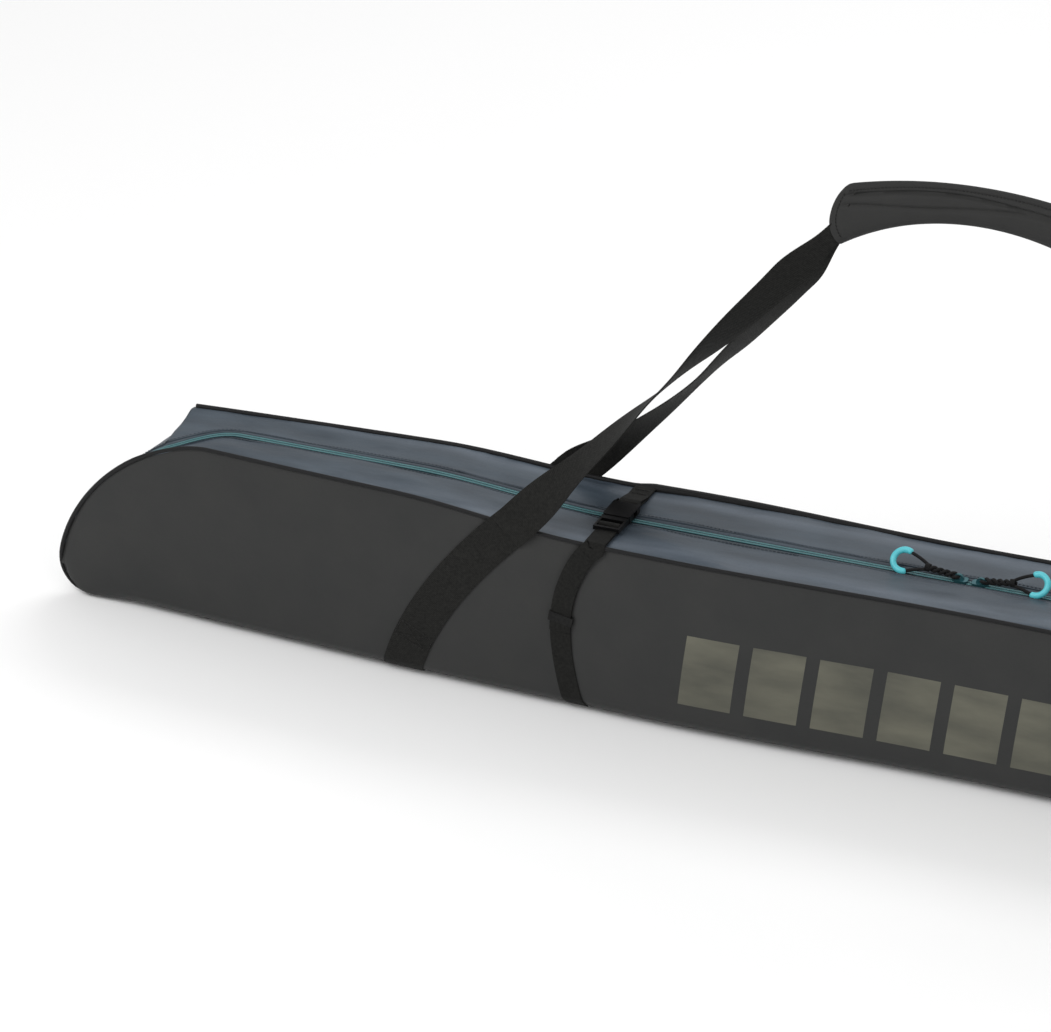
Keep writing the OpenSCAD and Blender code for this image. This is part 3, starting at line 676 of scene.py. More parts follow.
RUBBER = moulded("pull_rubber", (66, 184, 198), (98, 200, 208), 0.42, 0.0012, 0.03 * MM)
BUCKLE = moulded("buckle_plastic", (9, 9, 10), (18, 18, 19), 0.4, 0.0009, 0.04 * MM,
                 Specular_IOR_Level=0.14)
ELASTIC = webbing_cloth("elastic", (20, 20, 20), (36, 36, 35), 0.9 * MM, 0.2 * MM)
THREAD = knit_cloth("sewing_thread", (24, 24, 24), (42, 42, 41), 0.4 * MM, 0.55)
PALE_THREAD = knit_cloth("gusset_thread", (54, 62, 70), (80, 88, 98), 0.4 * MM, 0.55)
FOAM = foam_material()


# ---------------------------------------------------------------- camera, light and floor


def aimed(name, data, location, direction):
    """A camera or a lamp in its place, which looks in a direction."""
    thing = bpy.data.objects.new(name, data)
    thing.location = location
    thing.rotation_mode = "QUATERNION"
    thing.rotation_quaternion = direction.to_track_quat("-Z", "Y")
    bpy.context.scene.collection.objects.link(thing)
    return thing


def add_camera():
    """Front view from the right and above, aimed at the left half of the bag."""
    azimuth, elevation = math.radians(22.5), math.radians(27)
    distance = 6
    target = Vector((-0.4814 * HALF_LENGTH, 0, 0.1566))
    back = Vector((math.sin(azimuth) * math.cos(elevation),
                   -math.cos(azimuth) * math.cos(elevation), math.sin(elevation)))
    data = bpy.data.cameras.new("camera")
    data.lens = 225.7
    bpy.context.scene.camera = aimed("camera", data, target + distance * back, -back)


def add_lamp(name, location, target, size, watts):
    data = bpy.data.lights.new(name, "AREA")
    data.shape = "RECTANGLE"
    data.size, data.size_y = size
    data.energy = watts
    aimed(name, data, location, Vector(target) - Vector(location))


def add_surroundings():
    """Surroundings that are white to the camera and light the bag a little less, three lamps
    and a floor of white paper."""
    scene = bpy.context.scene
    scene.view_settings.view_transform = "Standard"
    world = bpy.data.worlds.new("studio")
    scene.world = world
    world.use_nodes = True
    nodes, links = world.node_tree.nodes, world.node_tree.links
    rays = nodes.new("ShaderNodeLightPath")
    plain, white = nodes["Background"], nodes.new("ShaderNodeBackground")
    for background, strength in ((plain, 0.62), (white, 1.0)):
        background.inputs["Color"].default_value = (1, 1, 1, 1)
        background.inputs["Strength"].default_value = strength
    choose = nodes.new("ShaderNodeMixShader")
    links.new(rays.outputs["Is Camera Ray"], choose.inputs[0])
    links.new(plain.outputs[0], choose.inputs[1])
    links.new(white.outputs[0], choose.inputs[2])
    links.new(choose.outputs[0], nodes["World Output"].inputs["Surface"])
    add_lamp("key", (-1.6, -2.2, 3.0), (0, 0, 0.1), (2.4, 1.6), 62)
    add_lamp("fill", (2.4, -2.6, 1.6), (0, 0, 0.15), (2.0, 1.6), 18)
    add_lamp("top_back", (0.2, 2.2, 2.6), (0, 0, 0.1), (3.0, 1.0), 26)
    half = 15
    corners = [(x * half, y * half, 0) for x, y in ((-1, -1), (1, -1), (1, 1), (-1, 1))]
    floor = make_mesh("floor", corners, [(0, 1, 2, 3)])
    s = Shader("floor_paper", 0.9)
    s.colour(s.mix(s.noise(0.4, 2), (0.975, 0.975, 0.975), (0.99, 0.99, 0.99)))
    floor.data.materials.append(s.material)


# ---------------------------------------------------------------- faces, gusset and base

END_ANGLES = [-90, -84, -78, -70, -60, -48, -34, -20, -8, 0, 4, 8, 13, 18, 24, 30, 36, 42, 48, 54, 60,
              64, 66.5, CREASE, 70, 72, 74, 76, 78, 80, 82, 84, 86, 87.5, 89, 90]
COLUMNS = 301
ACROSS = np.linspace(-1, 1, COLUMNS)


def face_grid(side, inset=0.0):
    """Points of the front face (side -1) or the back face (1), from the foot to the top seam."""
    edge = front_edge if side < 0 else back_edge
    angles = [a for a in END_ANGLES if side < 0 or a <= CREASE]
    rows = []
    for a in angles:
        ex, ez = edge(a)
        v = (ez - BASE_Z) / (SHOULDER - BASE_Z)
        x = ACROSS * ex
        top_x = ACROSS * edge(angles[-1])[0]
        z = ez + v * (seam_z(top_x) - SHOULDER)
        z = z + (0.5 - v) * 2 * inset
        rows.append(np.stack([x * (1 - inset / HALF_LENGTH), z], axis=1))
    flat = np.array(rows)
    depth = face_depth(flat[..., 0], flat[..., 1], side) - inset
    return np.stack([flat[..., 0], side * depth, flat[..., 1]], axis=2)


def rim(side, over_top):
    """The edge of a face as one line: over the top from the right foot to the left one, or under
    the base the other way. Both faces give the same number of points, which lie opposite."""
    edge = front_edge if side < 0 else back_edge
    if over_top:
        angles = sorted([*range(0, 91, 3), CREASE - 0.8, CREASE, CREASE + 0.8])
        ends = [edge(a) for a in angles]
        last = ends[-1][0]
        top = [(x, float(seam_z(x))) for x in np.linspace(last, -last, 241)[1:-1]]
    else:
        ends = [edge(a) for a in range(0, -91, -9)]
        last = ends[-1][0]
        top = [(x, BASE_Z) for x in np.linspace(last, -last, 201)[1:-1]]
    line = np.array(ends + top + [(-x, z) for x, z in reversed(ends)])
    depth = half_depth(line[:, 0]) - tuck_radius(line[:, 0], line[:, 1])
    return np.stack([line[:, 0], side * depth, line[:, 1]], axis=1)


FRONT_RIM, BACK_RIM = rim(-1, True), rim(1, True)
GENERATOR = BACK_RIM - FRONT_RIM
OUTWARD = unit(-np.cross(tangents((FRONT_RIM + BACK_RIM) / 2), unit(GENERATOR)))
OUTWARD = unit(evened(OUTWARD, 7))


def zip_line():
    """Middle line of the zip on the gusset. It turns towards the front seam at both ends."""
    x = np.abs(FRONT_RIM[:, 0])
    turn = smooth((x - ZIP_TURN_FROM) / (ZIP_TURN_TO - ZIP_TURN_FROM))
    width = np.linalg.norm(GENERATOR, axis=1)
    share = (1 - turn) * 0.5 + turn * ZIP_TO_SEAM / width
    return FRONT_RIM + GENERATOR * share[:, None] - OUTWARD * 0.3 * MM


ZIP = zip_line()
ZIP_SIDE = unit(evened(np.cross(OUTWARD, tangents(ZIP)), 7))
ZIP_SIDE *= np.sign(np.sum(ZIP_SIDE * GENERATOR, axis=1))[:, None]
# Where the zip is there: it stops low on both ends
ZIP_RUNS = FRONT_RIM[:, 2] > front_edge(ZIP_STOP)[1]


def gusset_grid(side):
    """Half of the gusset between a seam and the edge of the slit, with its soft crown."""
    start = FRONT_RIM if side < 0 else BACK_RIM
    slit = np.where(ZIP_RUNS, SLIT, 0.1 * MM)
    stop = ZIP + ZIP_SIDE * side * slit[:, None]
    t = 1 - np.cos(np.linspace(0, math.pi / 2, 15)) ** 1.3
    t = np.concatenate([t[:-1], [0.93, 0.985, 1.0]])
    points = spread(start, stop - start, t)
    width = np.linalg.norm(stop - start, axis=1)[:, None]
    ax = np.abs(start[:, :1])
    free = 1 - 0.85 * bump(ax - STRAP_X, 0.028)
    free = free * (1 - 0.9 * smooth((ax - 0.80) / 0.03))
    crown = 2.4 * MM * np.sin(math.pi * t) ** 0.8 * np.minimum(width / 0.06, 1) * free
    fold = 0.5 * MM * smooth((t - 0.75) / 0.2) - 1.1 * MM * smooth((t - 0.94) / 0.06)
    run = np.arange(len(start))[:, None] * 6 * MM
    depth = points[..., 1]
    creases = 1.5 * MM * ripple(run, depth * 2.5, 0.045, 31.0 + side) * free
    creases = creases + 2.2 * MM * ripple(run * 0.4, depth * 1.4, 0.05, 61.0 + side) * free
    pucker = 0.6 * MM * ripple(run, depth * 0.3, 0.011, 41.0 + side) * np.exp(-t * width / 0.009)
    fade = smooth(t * 12) * smooth((1 - t) * 8)
    lift = crown + fold + creases * fade + pucker * smooth(t * 30)
    return spread(points, OUTWARD, lift)


def add_lining(name, points, flip=False):
    """Foam on the inner side of a panel."""
    lining = sheet_mesh(f"{name}_foam", points, FOAM_T, flip=flip)
    place(lining, FOAM, "bag", "foam", f"{name}_padding")


def add_faces():
    for side, name in SIDES:
        cloth = sheet_mesh(f"{name}_face", face_grid(side), flip=side > 0)
        place(cloth, SHELL, "bag", "panel_cloth", f"{name}_panel")
        add_lining(name, face_grid(side, FOAM_INSET)[1:-1:2, 2:-2:4], flip=side > 0)


def add_base():
    front, back = rim(-1, False), rim(1, False)
    t = np.linspace(0, 1, 13)
    points = spread(front, back - front, t)
    feet = 1 - bump(np.abs(points[..., 0]) - FOOT_X, 0.05)
    points[..., 2] -= 0.5 * MM * np.sin(math.pi * t)[None] * feet
    place(sheet_mesh("base_face", points), SHELL, "bag", "panel_cloth", "base_panel")
    inner = points[12:-12:3, 1:-1].copy()
    inner[..., 2] += FOAM_INSET
    inner[..., 0] *= 0.99
    add_lining("base", inner)


def add_gusset():
    for side, name in SIDES:
        cloth = sheet_mesh(f"{name}_gusset", gusset_grid(side), flip=side > 0)
        place(cloth, GUSSET, "bag", "gusset_cloth", f"gusset_{name}", f"gusset_{name}_left",
              f"gusset_{name}_right")
        add_piping(side, name)


def add_piping(side, name):
    """A cord along a top seam and both ends, which runs out round the corners of the base."""
    line, foot = (FRONT_RIM if side < 0 else BACK_RIM), rim(side, False)[1:9]
    seat = 0.7 * MM
    out = np.array([0.0, side * 0.5 * MM, 0.0]) + OUTWARD * seat
    hub = np.array([foot[0, 0] - CORNER, foot[0, 1], FOOT_Z])
    corner = foot + unit((foot - hub) * [1, 0, 1]) * seat
    thick = 0.5 * MM * smooth((np.abs(line[:, :1]) - 0.77) / 0.04) * (side < 0)
    path = np.concatenate([corner[::-1], line + out + OUTWARD * thick * 0.7, corner * [-1, 1, 1]])
    path = evenly(path, 5 * MM)
    x, z = np.abs(path[:, 0]), path[:, 2]
    radius = PIPE_R * np.clip((1 - np.abs(np.linspace(-1, 1, len(path)))) / 0.012, 0.25, 1)
    if side < 0:
        radius = radius * (1 + 0.25 * smooth((x - 0.77) / 0.04) * smooth((z - FOOT_Z) / 0.02))
    else:
        wide = smooth((STRAP_X + 0.012 - x) / 0.02) * smooth((x - 0.04) / 0.25) * (z > FOOT_Z)
        radius = radius * (1.3 + 1.2 * wide)
    cord = tube(f"{name}_piping_cord", path, radius)
    place(cord, PIPING, "bag", "piping", f"{name}_piping")


def add_zip():
    line, side, out, seam = (rows[ZIP_RUNS] for rows in (ZIP, ZIP_SIDE, OUTWARD, FRONT_RIM))
    run = distances(line)
    fine = np.arange(0, run[-1], TOOTH / 5)
    path, across, up = (sampled(fine, run, rows) for rows in (line, side, out))
    across, up = unit(across), unit(up)
    room = np.linalg.norm(line - seam, axis=1) - 2.5 * MM
    tape_reach = 12 * MM
    for s, name in SIDES:
        c = np.linspace(0, 1, 9)
        place_at = s * (0.5 * MM + (CHAIN - 0.5 * MM) * c)
        phase = 2 * math.pi * (fine[:, None] / TOOTH + 0.25 * s + 0.25 * c[None])
        tooth = 0.55 + 0.45 * np.cos(phase)
        height = np.sqrt(np.clip(1 - (2 * c - 1) ** 2, 0, 1))[None] * (0.3 + 0.5 * tooth) * MM
        points = spread(spread(path, across, place_at), up, height - 0.3 * MM)
        coil = sheet_mesh(f"zip_teeth_{name}", points, 0.5 * MM, flip=s < 0)
        place(coil, COIL, "bag", "zip_coil", f"zip_coil_{name}")
        reach = np.minimum(tape_reach, room) if s < 0 else np.full(len(line), tape_reach)
        c = 0.7 * MM + (reach[:, None] - 0.7 * MM) * np.linspace(0, 1, 6)[None]
        below = 0.5 * MM + MM * smooth(c / (9 * MM))
        flat = spread(spread(line, side, s * c), out, -below)
        tape = sheet_mesh(f"zip_band_{name}", flat, 0.7 * MM, flip=s < 0)
        place(tape, TAPE, "bag", "zip_tape", f"zip_tape_{name}")


def add_zip_ends():
    """Cloth patches over both ends of the chain."""
    run = distances(ZIP)
    inwards = run[np.argmax(ZIP_RUNS)] + 2 * MM
    half_length, half_width, thickness = 11 * MM, 7 * MM, 0.8 * MM
    for name, middle in (("right", inwards), ("left", run[-1] - inwards)):
        at = np.arange(middle - half_length, middle + half_length + 1 * MM, 2 * MM)
        path, side, out = (sampled(at, run, rows) for rows in (ZIP, ZIP_SIDE, OUTWARD))
        c = np.linspace(-1, 1, 9)
        rise = (0.9 - 0.5 * np.abs(c) ** 3) * MM
        grid = spread(spread(path, side, c * half_width), out, rise)
        patch = slab_mesh(f"zip_patch_{name}", grid - out[:, None] * thickness, grid)
        place(patch, TAPE, "bag", "zip_tape", f"zip_end_{name}")


def add_stitching():
    """Top stitching on the gusset along both edges of the zip's slit."""
    out = OUTWARD[ZIP_RUNS]
    lines = []
    for side, _ in SIDES:
        grid = gusset_grid(side)[ZIP_RUNS]
        lines.append((grid[:, -4] * 0.6 + grid[:, -5] * 0.4 + out * 0.12 * MM, out))
    sewing = stitch_mesh("gusset_sewing", lines, pitch=3.8 * MM, radius=0.3 * MM)
    place(sewing, PALE_THREAD, "bag", "gusset_cloth")


# ---------------------------------------------------------------- webbing on the faces


def face_band(name, side, end, middle, heights, width, thickness, depth=None):
    """Webbing on a face, or going on under the base where a height lies below it. middle gives
    its place along the bag at a height, and depth may lift it off the cloth. What comes back is
    the piece and the grid of its outer side."""
    flat = np.stack([middle(heights), heights], axis=1)
    t = unit(np.gradient(flat, axis=0))
    c, share = band_profile()
    x = flat[:, :1] + t[:, 1:] * c[None] * width / 2
    z = flat[:, 1:] - t[:, :1] * c[None] * width / 2
    cloth = face_depth(end * x, np.maximum(z, BASE_Z), side) - np.maximum(BASE_Z - z, 0)
    z = np.maximum(z, BASE_Z)
    deep = cloth + LIE if depth is None else depth(x, z, cloth)
    points = np.stack([x, deep, z], axis=2)
    normal = unit(np.cross(np.gradient(points, axis=1), np.gradient(points, axis=0)))
    normal *= np.sign(normal[len(normal) // 2, 4, 1])
    lower = spread(points, normal, thickness * (1 - share) / 2)
    upper = spread(points, normal, thickness * (1 + share) / 2)
    turn = np.array([end, side, 1.0])
    upper[..., 2] = np.maximum(upper[..., 2], 0)
    return slab_mesh(name, lower * turn, upper * turn), upper * turn


def heights(low, high, count=44):
    """Heights for a band that starts under the base: close together where it turns up."""
    under = np.linspace(low, BASE_Z, 5)[:-1] if low < BASE_Z else np.array([])
    turn = BASE_Z + 22 * MM * np.linspace(0, 1, 13) ** 2
    return np.concatenate([under, turn[turn >= low], np.linspace(turn[-1], high, count)[1:]])


def over_piping(x, z, cloth):
    """Depth of a band that runs over the piping at the top seam."""
    near = smooth((z - (seam_z(x) - 9 * MM)) / (7 * MM))
    return cloth + LIE + 3.0 * MM * near


def tack(points, rows, columns):
    """Lines of a sewn box with a cross in it on part of a band's upper grid."""
    (r0, r1), (c0, c1) = rows, columns
    grid = points[r0:r1, c0:c1]
    normal = unit(np.cross(np.gradient(grid, axis=1), np.gradient(grid, axis=0)))
    middle = grid.reshape(-1, 3).mean(0)
    normal *= np.sign(np.sum(normal * (middle * [0, 1, 0])))
    count = min(grid.shape[:2])
    i = np.linspace(0, grid.shape[0] - 1, count).round().astype(int)
    j = np.linspace(0, grid.shape[1] - 1, count).round().astype(int)
    whole = slice(None)
    places = ((whole, 0), (whole, -1), (0, whole), (-1, whole), (i, j), (i, j[::-1]))
    return [(grid[at], normal[at]) for at in places]


def back_sling_x(z):
    return sling_x(z) - BACK_SHIFT * smooth((z - 0.08) / 0.09)


def add_sling():
    tops = {}
    for end, name in ENDS:
        reach = half_depth(FOOT_X) - TUCK - 8 * MM
        y = np.linspace(-reach, reach, 15)
        path = np.stack([0 * y + end * FOOT_X, y, 0 * y + BASE_Z - SLING_T / 2], axis=1)
        foot = webbing(f"sling_under_{name}", path, SLING_W, SLING_T - 0.1 * MM)
        place(foot, SLING, "bag", "sling_webbing", f"sling_foot_{name}")
        places = heights(BASE_Z - 9 * MM, float(seam_z(SEAM_X)) + 4 * MM)
        for (side, face), middle in zip(SIDES, (sling_x, back_sling_x)):
            strip, tops[face] = face_band(f"sling_face_{face}_{name}", side, end, middle, places,
                                          SLING_W, SLING_T, over_piping)
            place(strip, SLING, "bag", "sling_webbing", f"sling_{face}_{name}")
        sewing = stitch_mesh(f"sling_sewing_{name}", tack(tops["front"], (20, 25), (1, 8)))
        place(sewing, THREAD, "bag", "sling_webbing")


def leg_path(side):
    """Middle line of a left leg from the face up into the grip, where it leaves the seam, and
    where it goes into the grip."""
    seam = float(seam_z(SEAM_X))
    middle = sling_x if side < 0 else back_sling_x
    y = side * (half_depth(SEAM_X) + 5.6 * MM)
    low, fold = (np.array([-float(middle(z)), y, z]) for z in (seam - 5 * MM, seam + 3 * MM))
    into = np.array([-0.93 * GRIP_HIGH.x, side * MM, GRIP_TOP - 55 * MM])
    entry = np.array([-GRIP_HIGH.x, side * 2.0 * MM, GRIP_TOP - 66 * MM])
    if side < 0:
        bends = fold + (entry - fold) * 0.33, fold + (entry - fold) * 0.7
    else:
        bends = fold + [90 * MM, 4 * MM, 73 * MM], entry - [59 * MM, 0, 103 * MM]
    way = bezier(fold, *bends, entry, 60)
    return rounded([low, *way, into], 4 * MM, 2), fold, entry


# How far a leg has turned about its line in degrees, at shares of its way to the grip
FRONT_TWIST = ((0, 0), (0.04, 2), (0.09, 14), (0.14, 34), (0.21, 52), (0.30, 60), (0.37, 70),
               (0.44, 84), (0.53, 92), (0.60, 107), (0.70, 121), (0.84, 130), (0.96, 150))
BACK_TWIST = ((0, 0), (0.04, 10), (0.10, 26), (0.20, 43), (0.34, 57), (0.43, 65), (0.52, 68),
              (0.61, 59), (0.72, 55), (0.85, 46), (0.96, 24))


def add_legs():
    for side, name in SIDES:
        path, fold, entry = leg_path(side)
        path = evenly(path, 4 * MM)
        t = np.clip((path[:, 0] - fold[0]) / (entry[0] - fold[0]), 0, 1)
        degrees = side * np.interp(t, *np.transpose(FRONT_TWIST if side < 0 else BACK_TWIST))
        degrees = np.convolve(np.pad(degrees, 4, mode="edge"), np.ones(9) / 9, mode="valid")
        width = SLING_W * (1 - 0.5 * smooth((t - 0.86) / 0.13))
        thickness = SLING_T * (0.4 + 0.6 * smooth(np.linspace(0, 1, len(path)) / 0.02))
        across = turned(path, flat_across(path), degrees)
        for end, end_name in ((1, "left"), (-1, "right")):
            flip = np.array([end, 1.0, 1.0])
            leg = webbing(f"leg_{name}_band_{end_name}", path * flip, width, thickness, across * flip)
            place(leg, SLING, None, "sling_webbing", f"leg_{name}_{end_name}")
            if side < 0:
                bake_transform(leg)
            else:
                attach(leg, "handle")


# ---------------------------------------------------------------- padded grip


def grip_low(x):
    return GRIP_TOP - 37.3 * MM - GRIP_BEND + np.sqrt(GRIP_BEND**2 - x**2)


def grip_high(x):
    return GRIP_TOP - GRIP_CROWN + np.sqrt(GRIP_CROWN**2 - x**2)


def grip_reach(v):
    """Half the grip's length at the share v of its height: both upper corners are round."""
    corner = np.clip((v - 0.45) / 0.55, 0, 1)
    return (0.955 + 0.07 * np.sin(np.minimum(v / 0.5, 1) * math.pi / 2)
            - 0.16 * (1 - np.sqrt(1 - corner**2))) * GRIP_HIGH.x


def grip_point(u, v, side, inset=0.0):
    """A point of the grip's cover: u from -1 to 1 along it, v from 0 at its fold to 1 at the
    closed edge on top."""
    x = u * (grip_reach(v) - inset)
    low, high = grip_low(x) + inset, grip_high(x) - inset
    z = low + v * (high - low)
    half = np.interp(v, [0, 0.03, 0.08, 0.16, 0.3, 0.5, 0.68, 0.8, 0.88, 0.95, 0.985, 1],
                     [0, 3.4, 5.6, 7.3, 8.5, 8.3, 7.0, 4.8, 3.1, 2.5, 1.7, 0]) * MM
    along = 1 - 0.30 * smooth((np.abs(u) - 0.90) / 0.10)
    soft = 0.55 * MM * ripple(x + 3 * side, z * 3.2, 0.05, 7.0)
    down = grip_high(x) - z
    folds = -2.7 * MM * bump(down - (9.5 + 6 * ripple(x, 0 * x, 0.16, 3.0)) * MM, 1.5 * MM)
    folds = folds - 2.5 * MM * bump(down - (19 + 8 * ripple(x, 0 * x, 0.12, 9.0)) * MM, 2.0 * MM)
    away = smooth((1 - np.abs(u)) / 0.12) * smooth(v / 0.12) * smooth((1 - v) / 0.06)
    y = np.maximum(half * along - inset, 0.0) + (soft + folds) * away * (inset == 0)
    return np.stack([x, side * np.maximum(y, 0), z], axis=-1)


def grip_ring(u, v, inset=0.0):
    """Points round the grip's cover at one place along it."""
    u = np.full_like(v, u)
    return np.concatenate([grip_point(u, v, -1, inset), grip_point(u, v[::-1], 1, inset)[1:-1]])


def upright_webbing(name, x, y, z, width, thickness):
    """A band inside the grip, whose width stands upright."""
    path = np.stack([x, 0 * x + y, z], axis=1)
    return webbing(name, path, width, thickness, np.cross(tangents(path), [0.0, 1.0, 0.0]))


def add_grip():
    u = np.sin(np.linspace(-1, 1, 141) * math.pi / 2 * 0.985) / math.sin(math.pi / 2 * 0.985)
    v = (1 - np.cos(np.linspace(0, math.pi, 57))) / 2
    rings = [grip_ring(at, v) for at in u]
    for end in (1, -1):
        mouth = [grip_ring(end * (1 - inwards * MM / GRIP_HIGH.x), v, inset * MM)
                 for inset, inwards in ((0.7, 0.0), (1.4, 2.0), (1.6, 14.0))]
        rings = rings + mouth if end > 0 else mouth[::-1] + rings
    grid = np.array(rings)
    count = grid.shape[1]
    faces = grid_faces(len(grid), count, around=True)
    faces.append(tuple(range(count)))
    faces.append(tuple(range((len(grid) - 1) * count, len(grid) * count))[::-1])
    points = grid.reshape(-1, 3)
    cover = make_mesh("grip_padding_cover", points, outward(points, faces),
                      grid_uv(grid).reshape(-1, 2), sharp=60)
    place(cover, GRIP, "handle", "grip_cloth", "grip_cover")

    lines = []
    for side in (-1, 1):
        at = np.linspace(-0.955, 0.955, 160)
        top = grip_point(at, np.full_like(at, 0.885), side)
        up = np.linspace(0.10, 0.885, 30)
        ends = [grip_point(np.full_like(up, e * 0.955), up, side) for e in (-1, 1)]
        out = np.array([0.0, side, 0.0])
        lines += [(line + out * 0.15 * MM, np.broadcast_to(out, line.shape)) for line in (top, *ends)]
    sewing = stitch_mesh("grip_sewing", lines, pitch=3.4 * MM)
    place(sewing, THREAD, "handle", "grip_cloth")

    for side, name in SIDES:
        a, b = np.meshgrid(np.linspace(-0.93, 0.93, 61), np.linspace(0.12, 0.80, 9), indexing="ij")
        outer = grip_point(a, b, side, 4.0 * MM)
        inner = outer.copy()
        inner[..., 1] = side * np.minimum(1.9 * MM, np.abs(outer[..., 1]) - 0.4 * MM)
        foam = slab_mesh(f"grip_filling_{name}", inner, outer)
        place(foam, FOAM, "handle", "foam", f"grip_foam_{name}")
        x = np.linspace(-0.93, 0.93, 81) * GRIP_HIGH.x
        z = grip_low(x) + 0.44 * (grip_high(x) - grip_low(x))
        web = upright_webbing(f"grip_band_{name}", x, side * 0.85 * MM, z, 27 * MM, SLING_T)
        place(web, SLING, "handle", "sling_webbing", f"grip_web_{name}")
    x = np.linspace(-0.8, 0.8, 61) * GRIP_HIGH.x
    strip = upright_webbing("grip_hook_strip", x, 0.0, grip_high(x) - 4.4 * MM, 6 * MM, 1.6 * MM)
    place(strip, HOOKS, "handle", "hook_and_loop", "grip_closure")


# ---------------------------------------------------------------- compression straps


def strap_folds(line, x=0.0):
    """A strap's side view with its folds rounded, at a place along the bag."""
    return evenly(rounded([[x, y, z] for y, z in line], 2.2 * MM), 0.8 * MM)


def add_straps():
    # Side view: the strap's own ply and its tail over it, on the front and on top, the ladder
    # bar they turn round, the rear bar of the other half, and the keeper's middle
    top = HINGE.z - 2.4 * MM
    ply, tail_ply = 65.0 * MM, 66.5 * MM
    ply_z = top + 2.6 * MM
    tail_z = ply_z + TAIL_LIFT
    hook = MALE_LOW.y + 10.6 * MM
    turn = hook + 0.9 * MM
    hook_top = ply_z + 4.8 * MM
    rear = FEMALE_HIGH.y
    middle = (FEMALE_LOW.z + FEMALE_HIGH.z) / 2
    keeper = (KEEPER_LOW.z + KEEPER_HIGH.z) / 2

    def swung(z):
        return STRAP_X + strap_swing(z)

    def first(x, z, cloth):
        """The strap lies on the cloth, and goes over to its ply at the seam above the keeper."""
        s = smooth((z - (keeper - 42 * MM)) / (34 * MM))
        return (1 - s) * (cloth + LIE) + s * np.maximum(cloth + LIE, ply - STRAP_T / 2)

    def second(x, z, cloth):
        return first(x, z, cloth) + TAIL_LIFT

    strap_places = heights(BASE_Z + 0.5 * MM, top - 7.5 * MM)
    tail_places = np.linspace(keeper - 13 * MM, top - 7.5 * MM, 40)
    for end, name in ENDS:
        for piece_name, node, places, depth in (("strap_face", "strap", strap_places, first),
                                                ("strap_end", "strap_tail", tail_places, second)):
            strap, _ = face_band(f"{piece_name}_{name}", -1, end, swung, places, STRAP_W, STRAP_T,
                                 depth)
            place(strap, STRAP, "bag", "strap_webbing", f"{node}_{name}")

        line = [[-ply, top - 8 * MM], [-ply, ply_z - 1.2 * MM], [1.2 * MM - ply, ply_z], [turn, ply_z],
                [turn, hook_top], [hook - 3.8 * MM, hook_top], [hook - 6 * MM, tail_z],
                [2.2 * MM - tail_ply, tail_z], [-tail_ply, tail_z - 2.2 * MM], [-tail_ply, top - 8 * MM]]
        path = strap_folds(line)
        swing = strap_swing(path[:, 2]) * smooth((-path[:, 1] - 50 * MM) / (14 * MM))
        path[:, 0] = end * (STRAP_X + swing)
        loop = webbing(f"strap_turn_{name}", path, STRAP_W, STRAP_T)
        place(loop, STRAP, None, "strap_webbing", f"strap_loop_{name}")
        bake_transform(loop)

        low = top + 0.9 * MM
        back = half_depth(STRAP_X) + 0.5 * MM
        line = [[back, low - 1.5 * MM], [back - 4 * MM, low + 1.6 * MM], [rear + 20 * MM, low + 0.3 * MM],
                [rear + 6 * MM, middle - 2.1 * MM], [rear - 3.7 * MM, middle - 2.1 * MM],
                [rear - 3.7 * MM, middle + 2.1 * MM], [rear + 3 * MM, middle + 2.1 * MM],
                [rear + 22 * MM, low + 2.0 * MM], [rear + 34 * MM, low + 2.1 * MM]]
        anchor = webbing(f"strap_root_{name}", strap_folds(line, end * STRAP_X), STRAP_W, STRAP_T)
        place(anchor, STRAP, "bag", "strap_webbing", f"strap_anchor_{name}")
        lines = []
        for y in (rear + 23 * MM, rear + 31 * MM):
            x = end * STRAP_X + np.linspace(-0.42, 0.42, 12) * STRAP_W
            row = np.stack([x, 0 * x + y, 0 * x + low + 2.85 * MM], axis=1)
            lines.append((row, np.broadcast_to([0.0, 0.0, 1.0], row.shape)))
        sewing = stitch_mesh(f"strap_sewing_{name}", lines, pitch=2.4 * MM, length=1.9 * MM)
        place(sewing, THREAD, "bag", "strap_webbing")


# ---------------------------------------------------------------- zip pulls


def pull_place(points):
    """Points of a right pull, drawn from the slider's eye outwards, put where the pull lies."""
    rise = math.asin(PULL_RISE / PULL_REACH)
    p = np.asarray(points, float)
    x = p[..., 0] * math.cos(rise) - p[..., 2] * math.sin(rise)
    z = p[..., 0] * math.sin(rise) + p[..., 2] * math.cos(rise)
    return np.stack([x + PULL_EYE.x, p[..., 1], z + PULL_EYE.z], axis=-1)


def bow_point(angle):
    """A point of the bow's middle line, whose plane is tilted about the pull's length."""
    y = BOW_R * math.sin(angle)
    return [PULL_REACH + BOW_R * math.cos(angle), y * math.cos(BOW_TILT), y * math.sin(BOW_TILT)]


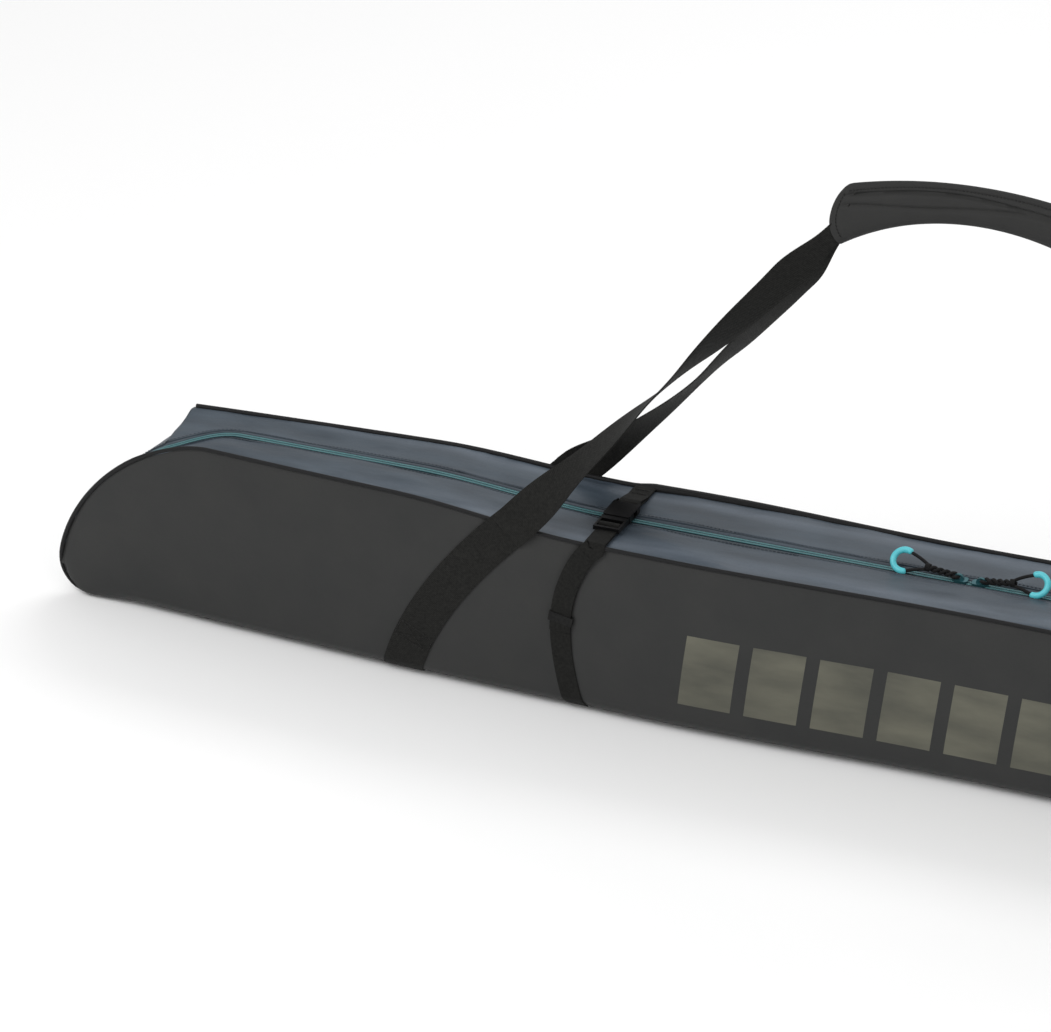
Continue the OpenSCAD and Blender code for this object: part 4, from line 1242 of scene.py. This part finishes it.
def pull_cord_line():
    """The pull's cord: from one end of the bow, twisted in to the eye, round it and out again."""
    start, stop = 3.2 * MM, 29 * MM
    turns = 2 * math.pi * 2.125
    strands = []
    for s in (1, -1):
        points = []
        for x in np.linspace(start, stop, 70):
            q = (x - start) / (stop - start)
            angle = (0 if s > 0 else math.pi) + turns * q
            r = (1.75 + 0.8 * (1 - smooth(q / 0.12)) + 0.2 * smooth((q - 0.9) / 0.1)) * MM
            points.append([x, r * math.cos(angle), r * math.sin(angle)])
        a, b = np.array(points[-1]), np.array(bow_point(s * BOW_END))
        for q in np.linspace(0.08, 1.1, 16):
            arch = np.array([0, 0, 1]) * 0.8 * MM * math.sin(math.pi * min(q, 1))
            points.append(a + (b - a) * q + arch)
        strands.append(np.array(points))
    eye = np.array([[1.6, 2.3, 0], [0.6, 1.5, 0], [0.2, 0, 0], [0.6, -1.5, 0], [1.6, -2.3, 0]]) * MM
    path = np.concatenate([strands[0][::-1], eye, strands[1]])
    return evenly(pull_place(path), 0.7 * MM)


def add_pulls():
    cord_r, whip_r, whip_ring, whip_turns = 1.55 * MM, 0.65 * MM, 3.3 * MM, 4
    path = pull_cord_line()
    wrap = []
    for q in np.linspace(0, 1, 90):
        angle = 2 * math.pi * whip_turns * q
        wrap.append([(27.5 + 4.6 * q) * MM, whip_ring * math.cos(angle), whip_ring * math.sin(angle)])
    wrap = pull_place(wrap)
    arc = pull_place([bow_point(angle) for angle in np.linspace(BOW_END, -BOW_END, 61)])
    at = np.linspace(-1, 1, len(arc))
    thick = 2.9 * MM * np.minimum(1, np.sqrt(np.clip((1 - np.abs(at)) / 0.075, 0.05, 1)))
    thick = thick * (1 + 0.03 * np.cos(at * 3 * math.pi))
    for end, name in ENDS:
        flip = np.array([end, 1.0, 1.0])
        cord = tube(f"pull_rope_{name}", path * flip, cord_r, 9, hint=(0.1, 0.3, 1))
        place(cord, CORD, f"pull_{name}", "cord", f"pull_cord_{name}")
        whip = tube(f"pull_whipping_{name}", wrap * flip, whip_r, 7, hint=(1, 0, 0))
        place(whip, CORD, f"pull_{name}", "cord")
        grip = tube(f"pull_bow_{name}", arc * flip, thick, 16, hint=(0.2, -1, 1))
        place(grip, RUBBER, f"pull_{name}", "pull_rubber", f"pull_grip_{name}")


# ---------------------------------------------------------------- CAD parts that are kept


def dress(node, material, bevel):
    """Gives a part of the CAD model that stays its material and soft edges."""
    piece = frame["nodes"][node]
    piece.data.materials.clear()
    piece.data.materials.append(material)
    edge = piece.modifiers.new("Edges", "BEVEL")
    edge.width, edge.segments, edge.limit_method = bevel, 2, "ANGLE"
    edge.angle_limit = math.radians(40)
    edge.harden_normals = True


add_camera()
add_surroundings()
add_faces()
add_base()
add_gusset()
add_zip()
add_zip_ends()
add_stitching()
add_sling()
add_legs()
add_grip()
add_straps()
add_pulls()
for _, name in ENDS:
    for node, material, bevel in (("buckle_female", BUCKLE, 0.6), ("buckle_male", BUCKLE, 0.4),
                                  ("buckle_prongs", BUCKLE, 0.3), ("keeper", ELASTIC, 0.25),
                                  ("zip_slider", SLIDER, 0.3)):
        dress(f"{node}_{name}", material, bevel * MM)
